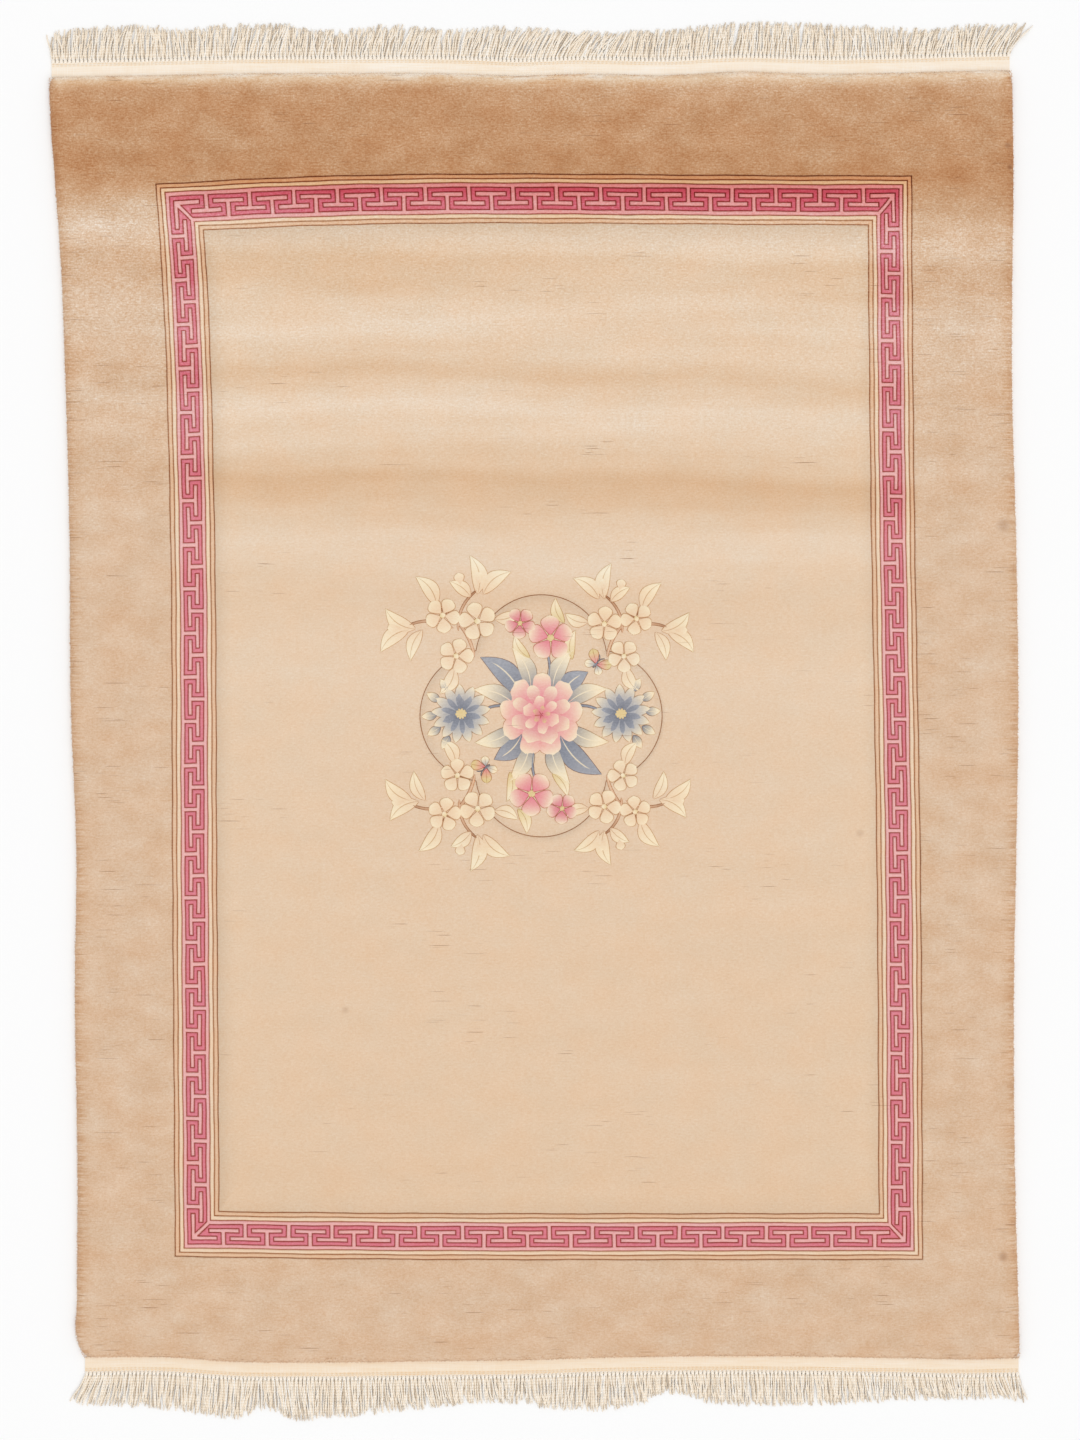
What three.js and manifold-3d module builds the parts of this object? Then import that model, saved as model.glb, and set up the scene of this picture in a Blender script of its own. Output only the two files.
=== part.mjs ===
// A hand knotted pile rug with a carved fret border and a knotted fringe at each end.
// Millimetres. X runs across the rug, +Y points to its head end, and its back lies on Z = 0.
import * as THREE from 'three';
import { mergeVertices } from 'three/addons/utils/BufferGeometryUtils.js';
import Module from 'manifold-3d';

const wasm = await Module();
wasm.setup();

// Foundation and clipped pile together, and the rim: its height and how far it is drawn in
const PILE_TOP = 16;
const RIM_STEPS = [
  { z: 0, inset: 0 },
  { z: 6, inset: 0 },
  { z: 12, inset: 2.5 },
  { z: PILE_TOP, inset: 9 },
];
const CORNER_RADIUS = 10;

// Woven end bands: width, thickness, and the gap to the pile that they are parted from
const BAND_WIDTH = 28;
const BAND_THICK = 3;
const PART_GAP = 0.3;

// Carved lines in the pile
const GROOVE_WIDTH = 3;
const GROOVE_DEPTH = 3;

// Corners of the pile
const CORNERS = {
  headLeft: { x: -934, y: 1223 },
  headRight: { x: 898, y: 1236 },
  footLeft: { x: -868, y: -1214 },
  footRight: { x: 913, y: -1214 },
};

// Long edges of the pile, from head to foot: the rug narrows and leans a little
const SIDES = [
  { y: 1178, left: -933, right: 899 },
  { y: 1026, left: -923, right: 901 },
  { y: 874, left: -912, right: 899 },
  { y: 646, left: -903, right: 898 },
  { y: 342, left: -895, right: 906 },
  { y: 38, left: -893, right: 910 },
  { y: -266, left: -882, right: 906 },
  { y: -494, left: -885, right: 902 },
  { y: -874, left: -880, right: 904 },
  { y: -1102, left: -881, right: 910 },
  { y: -1180, left: -881, right: 912 },
];

// End edges of the pile, from left to right
const ENDS = [
  { x: -690, head: 1227, foot: -1213 },
  { x: -600, head: 1229, foot: -1220 },
  { x: -420, head: 1230, foot: -1222 },
  { x: -150, head: 1229, foot: -1219 },
  { x: -40, head: 1225, foot: -1218 },
  { x: 80, head: 1229, foot: -1214 },
  { x: 230, head: 1226, foot: -1211 },
  { x: 380, head: 1233, foot: -1210 },
  { x: 530, head: 1229, foot: -1211 },
  { x: 690, head: 1231, foot: -1214 },
  { x: 830, head: 1235, foot: -1216 },
];

// Outermost carved line. share runs along it from 0 to 1, from head to foot or left to right
const LINE_SIDES = [
  { share: 0, left: -730, right: 706 },
  { share: 0.1, left: -716, right: 707 },
  { share: 0.3, left: -703, right: 711 },
  { share: 0.65, left: -698, right: 723 },
  { share: 1, left: -693, right: 727 },
];
const LINE_ENDS = [
  { share: 0, head: 1018, foot: -1019 },
  { share: 0.13, head: 1028, foot: -1022 },
  { share: 0.9, head: 1034, foot: -1025 },
  { share: 1, head: 1034, foot: -1025 },
];

// The border is drawn in units: a T takes ten along the side, and seven rows lie across it.
// Two units of guard stripe lie outside the fret and two inside it.
const UNITS_ACROSS = 170;
const UNITS_DOWN = 240;
const FRET_ROWS = 7;
const GUARDS = 2;
const REPEAT = 10;
const ROW = { left: 7.2, right: 7.0, head: 8.4, foot: 7.6 };
const GUARD_UNIT = 8.2;
const LINES = [-GUARDS, 1 - GUARDS, 0, FRET_ROWS, FRET_ROWS + 1, FRET_ROWS + GUARDS];

// Medallion line at the middle of the field, of four round lobes that meet in cusps
const MEDALLION = { x: 2, y: 8, lobeCentre: 105, lobeRadius: 125 };
const LOBE_STEPS = 12;

// Fringe locks: how many on each end, and their section at the band, halfway and at the tip
const LOCKS = 124;
const LOCK_ROOT = { inside: 5, width: 7, low: 0.5, high: 2.5 };
const LOCK_MIDDLE = { share: 0.42, driftShare: 0.3, width: 8.6, low: 0, high: 4 };
const LOCK_TIP = { width: 3.6, low: 0, high: 2 };
const LOCK_UNEVEN = { reach: 3, drift: 1.2 };

// How far the locks reach past the band, and how far their tips drift to the right
const HEAD_FRINGE = [
  { x: -934, reach: 56, drift: -3 },
  { x: -870, reach: 64, drift: 4 },
  { x: -750, reach: 67, drift: 2 },
  { x: -700, reach: 60, drift: -4 },
  { x: -600, reach: 67, drift: 6 },
  { x: -500, reach: 66, drift: 10 },
  { x: -410, reach: 54, drift: 4 },
  { x: -300, reach: 64, drift: 12 },
  { x: -185, reach: 56, drift: 8 },
  { x: -90, reach: 66, drift: 20 },
  { x: 90, reach: 52, drift: 26 },
  { x: 200, reach: 58, drift: 10 },
  { x: 450, reach: 68, drift: 6 },
  { x: 640, reach: 62, drift: 0 },
  { x: 740, reach: 55, drift: 10 },
  { x: 820, reach: 61, drift: 16 },
  { x: 898, reach: 60, drift: 30 },
];
const FOOT_FRINGE = [
  { x: -868, reach: 60, drift: -26 },
  { x: -800, reach: 65, drift: -12 },
  { x: -660, reach: 74, drift: -4 },
  { x: -545, reach: 73, drift: -5 },
  { x: -520, reach: 60, drift: 0 },
  { x: -495, reach: 76, drift: 4 },
  { x: -410, reach: 78, drift: 0 },
  { x: -280, reach: 67, drift: 3 },
  { x: -45, reach: 55, drift: 2 },
  { x: 50, reach: 70, drift: -2 },
  { x: 180, reach: 63, drift: 4 },
  { x: 226, reach: 44, drift: 2 },
  { x: 330, reach: 62, drift: 2 },
  { x: 560, reach: 62, drift: 4 },
  { x: 730, reach: 50, drift: 6 },
  { x: 870, reach: 50, drift: 8 },
  { x: 913, reach: 55, drift: 9 },
];

// A value of a table's column at a place in another column, on a straight line between rows
function valueAt(table, key, place, column) {
  let row = 1;
  while (row < table.length - 1 && place > table[row][key]) {
    row += 1;
  }
  const from = table[row - 1];
  const to = table[row];
  const part = (place - from[key]) / (to[key] - from[key]);
  return from[column] + (to[column] - from[column]) * part;
}

// Lays a place in units of the border on the rug, in millimetres
function spread(unit, count, rowBefore, rowAfter, length) {
  const guards = GUARDS * GUARD_UNIT;
  const before = FRET_ROWS * rowBefore;
  const after = FRET_ROWS * rowAfter;
  const middle = length - 2 * guards - before - after;
  const table = [
    { unit: -GUARDS, at: 0 },
    { unit: 0, at: guards },
    { unit: FRET_ROWS, at: guards + before },
    { unit: count - FRET_ROWS, at: guards + before + middle },
    { unit: count, at: length - guards },
    { unit: count + GUARDS, at: length },
  ];
  return valueAt(table, 'unit', unit, 'at') / length;
}

const LINE_WIDTH = LINE_SIDES[2].right - LINE_SIDES[2].left;
const LINE_HEIGHT = LINE_ENDS[1].head - LINE_ENDS[1].foot;

function onRug(u, v) {
  const across = spread(u, UNITS_ACROSS, ROW.left, ROW.right, LINE_WIDTH);
  const down = spread(v, UNITS_DOWN, ROW.head, ROW.foot, LINE_HEIGHT);
  const left = valueAt(LINE_SIDES, 'share', down, 'left');
  const right = valueAt(LINE_SIDES, 'share', down, 'right');
  const head = valueAt(LINE_ENDS, 'share', across, 'head');
  const foot = valueAt(LINE_ENDS, 'share', across, 'foot');
  return new THREE.Vector2(left + (right - left) * across, head + (foot - head) * down);
}

// The four sides of the border, each walked from its first corner to its last. along runs from
// the first corner, and depth from the outer edge of the fret towards the middle of the rug.
const BORDER_SIDES = [
  { length: UNITS_ACROSS, place: (along, depth) => [along, depth] },
  { length: UNITS_DOWN, place: (along, depth) => [UNITS_ACROSS - depth, along] },
  { length: UNITS_ACROSS, place: (along, depth) => [UNITS_ACROSS - along, UNITS_DOWN - depth] },
  { length: UNITS_DOWN, place: (along, depth) => [depth, UNITS_DOWN - along] },
];

// One loop round the border, from the points that each side gives as [along, depth]
function borderLoop(pointsOfSide) {
  const loop = [];
  for (const side of BORDER_SIDES) {
    for (const [along, depth] of pointsOfSide(side.length)) {
      loop.push(onRug(...side.place(along, depth)));
    }
  }
  return loop;
}

// A plain carved line at one depth, with a point at about every second repeat of the fret
function plainLine(depth) {
  return borderLoop((length) => {
    const points = [];
    const steps = Math.round(length / (2 * REPEAT));
    for (let step = 0; step < steps; step += 1) {
      points.push([depth + ((length - 2 * depth) * step) / steps, depth]);
    }
    return points;
  });
}

// The fret's outer line runs round Ts that stand on the outer stripe, with heads in row 4
function outerFretLine(length) {
  const points = [[1, 1]];
  for (let stem = REPEAT; stem <= length - REPEAT; stem += REPEAT) {
    points.push([stem - 0.5, 1], [stem - 0.5, 4], [stem - 3.5, 4], [stem - 3.5, 5]);
    points.push([stem + 3.5, 5], [stem + 3.5, 4], [stem + 0.5, 4], [stem + 0.5, 1]);
  }
  return points;
}

// The inner line runs round Ts that stand on the inner stripe, with heads in row 2. At each
// corner a slanting stem carries a bent head whose two arms lie along both sides.
function innerFretLine(length) {
  const points = [[2, 2], [8.5, 2], [8.5, 3], [3.7, 3], [6.7, 6]];
  for (let stem = 1.5 * REPEAT; stem < length - REPEAT; stem += REPEAT) {
    points.push([stem - 0.5, 6], [stem - 0.5, 3], [stem - 3.5, 3], [stem - 3.5, 2]);
    points.push([stem + 3.5, 2], [stem + 3.5, 3], [stem + 0.5, 3], [stem + 0.5, 6]);
  }
  points.push([length - 6.7, 6], [length - 3.7, 3], [length - 8.5, 3], [length - 8.5, 2]);
  return points;
}

// The medallion line: four arcs, each ending where its circle crosses the diagonals
function medallionLine() {
  const { x, y, lobeCentre, lobeRadius } = MEDALLION;
  const reach = Math.PI / 4 + Math.asin(lobeCentre / (lobeRadius * Math.SQRT2));
  const loop = [];
  for (let lobe = 0; lobe < 4; lobe += 1) {
    for (let step = 0; step < LOBE_STEPS; step += 1) {
      const turn = reach * ((2 * step) / LOBE_STEPS - 1);
      const point = new THREE.Vector2(lobeCentre, 0);
      point.x += lobeRadius * Math.cos(turn);
      point.y += lobeRadius * Math.sin(turn);
      point.rotateAround(new THREE.Vector2(), (lobe * Math.PI) / 2);
      loop.push(point.add(new THREE.Vector2(x, y)));
    }
  }
  return loop;
}

// How far each point of a closed loop moves, sideways by one millimetre, with mitred corners
function sideways(loop) {
  return loop.map((point, index) => {
    const before = loop[(index + loop.length - 1) % loop.length];
    const after = loop[(index + 1) % loop.length];
    const into = point.clone().sub(before).normalize();
    const out = after.clone().sub(point).normalize();
    const normal = new THREE.Vector2(into.y + out.y, -into.x - out.x);
    return normal.divideScalar(1 + into.dot(out));
  });
}

function geometryFrom(positions, indices) {
  const geometry = new THREE.BufferGeometry();
  geometry.setAttribute('position', new THREE.Float32BufferAttribute(positions, 3));
  geometry.setIndex(indices);
  return geometry;
}

function toSolid(geometry) {
  const merged = mergeVertices(geometry);
  return new wasm.Manifold(new wasm.Mesh({
    numProp: 3,
    vertProperties: Float32Array.from(merged.attributes.position.array),
    triVerts: Uint32Array.from(merged.index.array),
  }));
}

function toGeometry(solid) {
  const mesh = solid.getMesh();
  return geometryFrom(Array.from(mesh.vertProperties), Array.from(mesh.triVerts));
}

// A V-shaped cutter along a closed loop, wider above the pile so that it cuts cleanly through
function grooveCutter(loop) {
  const above = 1;
  const half = (GROOVE_WIDTH / 2) * ((GROOVE_DEPTH + above) / GROOVE_DEPTH);
  const positions = [];
  const indices = [];
  const offsets = sideways(loop);
  loop.forEach((point, index) => {
    const side = offsets[index].clone().multiplyScalar(half);
    positions.push(point.x + side.x, point.y + side.y, PILE_TOP + above);
    positions.push(point.x - side.x, point.y - side.y, PILE_TOP + above);
    positions.push(point.x, point.y, PILE_TOP - GROOVE_DEPTH);
    const here = 3 * index;
    const next = 3 * ((index + 1) % loop.length);
    for (let edge = 0; edge < 3; edge += 1) {
      const other = (edge + 1) % 3;
      indices.push(here + edge, next + edge, here + other);
      indices.push(next + edge, next + other, here + other);
    }
  });
  return toSolid(geometryFrom(positions, indices));
}

// The pile's outline, walked with the rug on the left hand, its four corners rounded
function pileOutline() {
  const { headLeft, headRight, footLeft, footRight } = CORNERS;
  const backwards = (rows) => rows.slice().reverse();
  const loop = [
    { ...footLeft, corner: true },
    ...ENDS.map((row) => ({ x: row.x, y: row.foot })),
    { ...footRight, corner: true },
    ...backwards(SIDES).map((row) => ({ x: row.right, y: row.y })),
    { ...headRight, corner: true },
    ...backwards(ENDS).map((row) => ({ x: row.x, y: row.head })),
    { ...headLeft, corner: true },
    ...SIDES.map((row) => ({ x: row.left, y: row.y })),
  ];
  return loop.flatMap((point, index) => {
    const here = new THREE.Vector2(point.x, point.y);
    if (!point.corner) {
      return [here];
    }
    const before = loop[(index + loop.length - 1) % loop.length];
    const after = loop[(index + 1) % loop.length];
    const back = new THREE.Vector2(before.x, before.y).sub(here).setLength(CORNER_RADIUS);
    const on = new THREE.Vector2(after.x, after.y).sub(here).setLength(CORNER_RADIUS);
    const middle = back.clone().add(on).multiplyScalar(1 - Math.SQRT1_2);
    return [back, middle, on].map((shift) => shift.add(here));
  });
}

// The pile body: rings of the outline stacked up the rim, closed by a back and a top face
function pileGeometry() {
  const outline = pileOutline();
  const offsets = sideways(outline);
  const count = outline.length;
  const positions = [];
  const indices = [];
  for (const step of RIM_STEPS) {
    outline.forEach((point, index) => {
      const shift = offsets[index].clone().multiplyScalar(step.inset);
      positions.push(point.x - shift.x, point.y - shift.y, step.z);
    });
  }
  for (let ring = 0; ring < RIM_STEPS.length - 1; ring += 1) {
    for (let index = 0; index < count; index += 1) {
      const low = ring * count + index;
      const lowNext = ring * count + ((index + 1) % count);
      indices.push(low, lowNext, lowNext + count, low, lowNext + count, low + count);
    }
  }
  const lastRing = (RIM_STEPS.length - 1) * count;
  for (const [a, b, c] of THREE.ShapeUtils.triangulateShape(outline, [])) {
    indices.push(a, c, b, lastRing + a, lastRing + b, lastRing + c);
  }
  let solid = toSolid(geometryFrom(positions, indices));
  const loops = [
    ...LINES.map(plainLine),
    borderLoop(outerFretLine),
    borderLoop(innerFretLine),
    medallionLine(),
  ];
  for (const loop of loops) {
    solid = solid.subtract(grooveCutter(loop));
  }
  return toGeometry(solid);
}

// A closed tube through rings of points, each ring listed anticlockwise seen from its front
function tubeSolid(rings) {
  const sides = rings[0].length;
  const positions = rings.flat(2);
  const indices = [];
  for (let ring = 0; ring < rings.length - 1; ring += 1) {
    for (let side = 0; side < sides; side += 1) {
      const here = ring * sides + side;
      const next = ring * sides + ((side + 1) % sides);
      indices.push(here, next, next + sides, here, next + sides, here + sides);
    }
  }
  const last = (rings.length - 1) * sides;
  for (let side = 1; side < sides - 1; side += 1) {
    indices.push(0, side + 1, side, last, last + side, last + side + 1);
  }
  return toSolid(geometryFrom(positions, indices));
}

// A repeatable unevenness from -1 to 1 for each lock
function uneven(index, salt) {
  const wave = Math.sin(index * 12.9898 + salt * 78.233) * 43758.5453;
  return 2 * (wave - Math.floor(wave)) - 1;
}

// One end of the rug: its woven band, and the locks whose roots are fused into the band
function fringeGeometry({ column, outward, table, from, to }) {
  const stations = [from, ...ENDS.map((row) => ({ x: row.x, y: row[column] })), to];
  const edge = (x) => valueAt(stations, 'x', x, 'y') + outward * PART_GAP;
  const bandRings = stations.map(({ x }) => {
    const near = edge(x);
    const far = near + outward * BAND_WIDTH;
    const [low, high] = outward > 0 ? [near, far] : [far, near];
    return [[x, low, 0], [x, high, 0], [x, high, BAND_THICK], [x, low, BAND_THICK]];
  });
  const ring = (x, y, { width, low, high }) => {
    const half = (outward * width) / 2;
    return [[x + half, y, low], [x - half, y, low], [x, y, high]];
  };
  const pieces = [tubeSolid(bandRings)];
  const first = from.x + LOCK_MIDDLE.width / 2;
  const pitch = (to.x - from.x - LOCK_MIDDLE.width) / (LOCKS - 1);
  for (let lock = 0; lock < LOCKS; lock += 1) {
    const x = first + pitch * lock;
    const root = edge(x) + outward * BAND_WIDTH;
    const reach = valueAt(table, 'x', x, 'reach') + LOCK_UNEVEN.reach * uneven(lock, outward);
    const drift = valueAt(table, 'x', x, 'drift') + LOCK_UNEVEN.drift * uneven(lock, 2);
    const middleX = x + drift * LOCK_MIDDLE.driftShare;
    const middleY = root + outward * reach * LOCK_MIDDLE.share;
    pieces.push(tubeSolid([
      ring(x, root - outward * LOCK_ROOT.inside, LOCK_ROOT),
      ring(middleX, middleY, LOCK_MIDDLE),
      ring(x + drift, root + outward * reach, LOCK_TIP),
    ]));
  }
  return toGeometry(wasm.Manifold.union(pieces));
}

function mesh(name, geometry, color, roughness) {
  const material = new THREE.MeshStandardMaterial({ color, roughness, metalness: 0 });
  const piece = new THREE.Mesh(geometry, material);
  piece.name = name;
  return piece;
}

const rug = new THREE.Group();
rug.add(mesh('pile_body', pileGeometry(), 0xe2c5a7, 0.95));
rug.add(mesh('head_fringe', fringeGeometry({
  column: 'head',
  outward: 1,
  table: HEAD_FRINGE,
  from: { x: -930, y: CORNERS.headLeft.y },
  to: { x: 895, y: CORNERS.headRight.y },
}), 0xf3e6d2, 0.9));
rug.add(mesh('foot_fringe', fringeGeometry({
  column: 'foot',
  outward: -1,
  table: FOOT_FRINGE,
  from: { x: -866, y: CORNERS.footLeft.y },
  to: { x: 912, y: CORNERS.footRight.y },
}), 0xf0e2cc, 0.9));

// The origin lies on the floor at the middle of the whole rug's box
const middle = new THREE.Box3().setFromObject(rug).getCenter(new THREE.Vector3());
rug.position.set(-middle.x, -middle.y, 0);

export default rug;
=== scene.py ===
"""A hand knotted wool pile rug with a carved fret border, a flower medallion and a knotted fringe."""
import math

import bmesh
import bpy
import numpy as np
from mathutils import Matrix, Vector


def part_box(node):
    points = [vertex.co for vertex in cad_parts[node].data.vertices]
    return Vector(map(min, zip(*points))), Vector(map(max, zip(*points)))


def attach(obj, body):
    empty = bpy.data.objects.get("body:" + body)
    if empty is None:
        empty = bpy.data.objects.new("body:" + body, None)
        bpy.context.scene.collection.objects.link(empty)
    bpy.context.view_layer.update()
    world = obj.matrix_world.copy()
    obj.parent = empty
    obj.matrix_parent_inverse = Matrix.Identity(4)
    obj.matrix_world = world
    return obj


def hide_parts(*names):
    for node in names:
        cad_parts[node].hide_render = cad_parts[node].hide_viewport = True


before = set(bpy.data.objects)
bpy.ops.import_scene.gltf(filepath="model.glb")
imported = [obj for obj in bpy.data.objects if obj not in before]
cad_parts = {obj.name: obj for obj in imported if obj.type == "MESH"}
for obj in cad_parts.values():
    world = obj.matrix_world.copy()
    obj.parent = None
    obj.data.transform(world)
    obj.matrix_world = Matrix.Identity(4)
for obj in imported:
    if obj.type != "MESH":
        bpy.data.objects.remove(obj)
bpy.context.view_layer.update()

bl_info = {
    "name": "Carved pile rug",
    "version": (1, 0, 0),
    "blender": (4, 5, 0),
    "location": "View3D > Sidebar > Rug",
    "description": "Builds a carved wool pile rug with woven end bands and knotted fringes",
    "category": "Add Mesh",
}

BODY = "root"
MM = 0.001
SEED = 11


def dye(red, green, blue):
    """A yarn colour as scene values, from its screen values of 0 to 255."""
    screen = np.array([red, green, blue]) / 255
    low, high = screen / 12.92, ((screen + 0.055) / 1.055) ** 2.4
    return tuple(float(v) for v in np.where(screen <= 0.04045, low, high))


# The pile's corners, in millimetres from the middle of the weaving plan
CORNERS = {
    "head_left": (-934, 1223),
    "head_right": (898, 1236),
    "foot_left": (-868, -1214),
    "foot_right": (913, -1214),
}

# Long edges of the pile: y, left, right
SIDES = np.array([
    (1178, -933, 899), (1026, -923, 901), (874, -912, 899), (646, -903, 898),
    (342, -895, 906), (38, -893, 910), (-266, -882, 906), (-494, -885, 902),
    (-874, -880, 904), (-1102, -881, 910), (-1180, -881, 912),
], float)

# End edges of the pile: x, head, foot
ENDS = np.array([
    (-690, 1227, -1213), (-600, 1229, -1220), (-420, 1230, -1222), (-150, 1229, -1219),
    (-40, 1225, -1218), (80, 1229, -1214), (230, 1226, -1211), (380, 1233, -1210),
    (530, 1229, -1211), (690, 1231, -1214), (830, 1235, -1216),
], float)

# Outermost carved line. Along it: share, left, right and share, head, foot
LINE_SIDES = np.array([
    (0, -730, 706), (0.1, -716, 707), (0.3, -703, 711), (0.65, -698, 723), (1, -693, 727),
])
LINE_ENDS = np.array([
    (0, 1018, -1019), (0.13, 1028, -1022), (0.9, 1034, -1025), (1, 1034, -1025),
])

# Fringe: x, reach past the band, drift of the tips to the right
HEAD_FRINGE = np.array([
    (-934, 56, -3), (-870, 64, 4), (-750, 67, 2), (-700, 60, -4), (-600, 67, 6),
    (-500, 66, 10), (-410, 54, 4), (-300, 64, 12), (-185, 56, 8), (-90, 66, 20),
    (90, 52, 26), (200, 58, 10), (450, 68, 6), (640, 62, 0), (740, 55, 10),
    (820, 61, 16), (898, 60, 30),
], float)
FOOT_FRINGE = np.array([
    (-868, 60, -26), (-800, 65, -12), (-660, 74, -4), (-545, 73, -5), (-520, 60, 0),
    (-495, 76, 4), (-410, 78, 0), (-280, 67, 3), (-45, 55, 2), (50, 70, -2),
    (180, 63, 4), (226, 44, 2), (330, 62, 2), (560, 62, 4), (730, 50, 6),
    (870, 50, 8), (913, 55, 9),
], float)

# Units of the border: a T takes ten along the side, seven rows lie across the fret, and two
# units of guard stripe lie outside it and two inside
UNITS_ACROSS = 170
UNITS_DOWN = 240
FRET_ROWS = 7
GUARDS = 2
REPEAT = 10
CORNER_END = FRET_ROWS + GUARDS
ROW = {"left": 7.2, "right": 7.0, "head": 8.4, "foot": 7.6}
GUARD_UNIT = 8.2

# Painted shade and sheen of the nap from head to foot: y in metres, and how deep the yarn's
# colour is painted there
NAP_SHADE_BANDS = [
    (1.222, 1.25), (1.205, 1.50), (1.185, 1.72), (1.120, 1.76), (1.065, 1.82), (1.038, 1.93),
    (1.015, 1.75), (0.980, 1.36), (0.945, 1.02), (0.920, 0.90), (0.893, 0.98), (0.868, 1.20),
    (0.828, 1.15), (0.789, 0.96), (0.737, 0.90), (0.694, 1.00), (0.657, 1.24), (0.625, 1.00),
    (0.590, 0.84), (0.532, 0.99), (0.492, 1.14), (0.454, 1.42), (0.420, 1.27), (0.385, 1.08),
    (0.325, 0.89), (0.228, 1.05), (0.080, 0.97), (-0.040, 1.03), (-0.700, 1.09), (-1.060, 1.18),
    (-1.150, 1.15), (-1.205, 1.20),
]

# Small stains, in millimetres of the weaving plan: x, y, radius, strength
STAINS = [
    (-370, -551, 9, 0.25), (880, -1020, 12, 0.5), (889, 1092, 8, 0.7), (893, 1051, 7, 0.7),
    (880, 370, 16, 0.35), (608, -215, 10, 0.25),
]
STAIN_LEVEL = 14 * MM

# Noises of the materials: stretch along each axis, detail and offset
NOISES = {
    "wander": ((2.2, 5.0, 1.0), 3, (0, 0, 0)),
    "streak": ((1.6, 16.0, 1.0), 4, (3, 1, 0)),
    "cloud": ((17.0, 24.0, 1.0), 6, (7, 2, 0)),
    "knot_rows": ((120, 330, 1), 4, (1, 6, 0)),
    "tips": ((330, 330, 330), 3, (0, 0, 0)),
    "ragged": ((14, 60, 60), 4, (0, 0, 0)),
    "combed": ((25, 300, 1), 2, (0, 0, 0)),
    "dashes": ((13.0, 520.0, 1.0), 1, (2, 5, 0)),
    "patch": ((3.5, 9.0, 1.0), 2, (9, 4, 0)),
    "hue": ((12.0, 15.0, 1.0), 3, (5, 8, 0)),
    "warps": ((650, 40, 40), 2, (0, 0, 0)),
    "wefts": ((18, 420, 40), 2, (0, 0, 0)),
    "ageing": ((6, 25, 5), 3, (0, 0, 0)),
}

# Pile materials: mottle, fine grain, opened weft lines, and calm of the painted nap shade
# below the upper field
PILES = {
    "field": (0.18, 1.0, 0.15, 0),
    "border": (0.66, 1.3, 0.8, 0.85),
    "fret": (0.2, 0.9, 0.0, 0.6),
    "motif": (0.12, 0.8, 0.0, 0),
}

# Plied yarn: length of one turn of the plies, and the power past which it falls into shadow
PLY_TURN = 5.5 * MM
LIT_POWER = 1.3


class RugSizes(bpy.types.PropertyGroup):
    """Sizes that a weaver would change."""

    pile_top: bpy.props.FloatProperty(
        name="Pile height", description="Foundation and clipped pile together",
        default=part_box("pile_body")[1][2], unit="LENGTH")
    foundation: bpy.props.FloatProperty(
        name="Foundation", description="Thickness of the knotted back", default=0.0035,
        unit="LENGTH")
    groove_width: bpy.props.FloatProperty(
        name="Carved line", description="Width of the carved lines at the pile's top",
        default=0.0033, unit="LENGTH")
    groove_depth: bpy.props.FloatProperty(
        name="Carving depth", description="Depth of the carved lines", default=0.0028,
        unit="LENGTH")
    band_width: bpy.props.FloatProperty(
        name="End band", description="Width of the woven end bands", default=0.028,
        unit="LENGTH")
    band_thick: bpy.props.FloatProperty(
        name="Band thickness", description="Thickness of the woven end bands", default=0.003,
        unit="LENGTH")
    tassels: bpy.props.IntProperty(
        name="Tassels", description="Knots along one end of the rug", default=236)
    yarns: bpy.props.IntProperty(
        name="Yarns", description="Plied yarns that hang from a knot", default=5)
    yarn: bpy.props.FloatProperty(
        name="Yarn", description="Diameter of a plied fringe yarn", default=0.0028,
        unit="LENGTH")
    lobe_centre: bpy.props.FloatProperty(
        name="Lobe centre", description="From the medallion's middle to the middle of a lobe",
        default=0.105, unit="LENGTH")
    lobe_radius: bpy.props.FloatProperty(
        name="Lobe radius", description="Radius of the medallion's lobes", default=0.125,
        unit="LENGTH")


class RugDyes(bpy.types.PropertyGroup):
    """Yarn colours of the rug, and the brown painted into its carved grooves as their shade."""

    def shade(name, red, green, blue):
        return bpy.props.FloatVectorProperty(
            name=name, description=f"Colour of the {name.lower()} yarn", subtype="COLOR",
            min=0, max=1, default=dye(red, green, blue))

    field: shade("Field beige", 229, 202, 174)
    border: shade("Border tan", 219, 188, 159)
    tan: shade("Guard tan", 229, 192, 160)
    cream: shade("Guard cream", 238, 211, 183)
    pink: shade("Fret pink", 235, 180, 177)
    rose: shade("Fret rose", 221, 130, 143)
    # The line dye: a painted shade of the carved grooves, and the brown that the sprays' twigs run
    # into
    line: shade("Twig brown and painted groove shade", 168, 118, 82)
    blue: shade("Slate blue", 166, 167, 174)
    deep_blue: shade("Deep slate", 130, 133, 144)
    blossom: shade("Blossom cream", 246, 229, 198)
    gold: shade("Gold", 226, 202, 150)
    petal: shade("Petal rose", 229, 138, 150)
    cotton: shade("Cotton", 250, 239, 224)
    yarn: shade("Fringe yarn", 255, 243, 226)


# Places on the rug


def smooth(table, place, column):
    """Value of a table's column at places in its first column: cubic curves between the rows,
    whose slopes at a row are those of the line between its neighbours."""
    order = np.argsort(table[:, 0])
    at, value = table[order, 0], table[order, column]
    slope = np.gradient(value, at)
    row = np.clip(np.searchsorted(at, place) - 1, 0, len(at) - 2)
    step = at[row + 1] - at[row]
    t = np.clip((place - at[row]) / step, 0, 1)
    rise = value[row + 1] - value[row]
    start = slope[row] * step - rise
    end = rise - slope[row + 1] * step
    return value[row] + t * rise + t * (1 - t) * (start * (1 - t) + end * t)


def with_corners(table, first, last, columns):
    """A table with a row for each of the two corners that it runs between."""
    rows = [[CORNERS[name][axis] for name, axis in columns[key]] for key in (first, last)]
    return np.vstack([rows[0], table, rows[1]])


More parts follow.
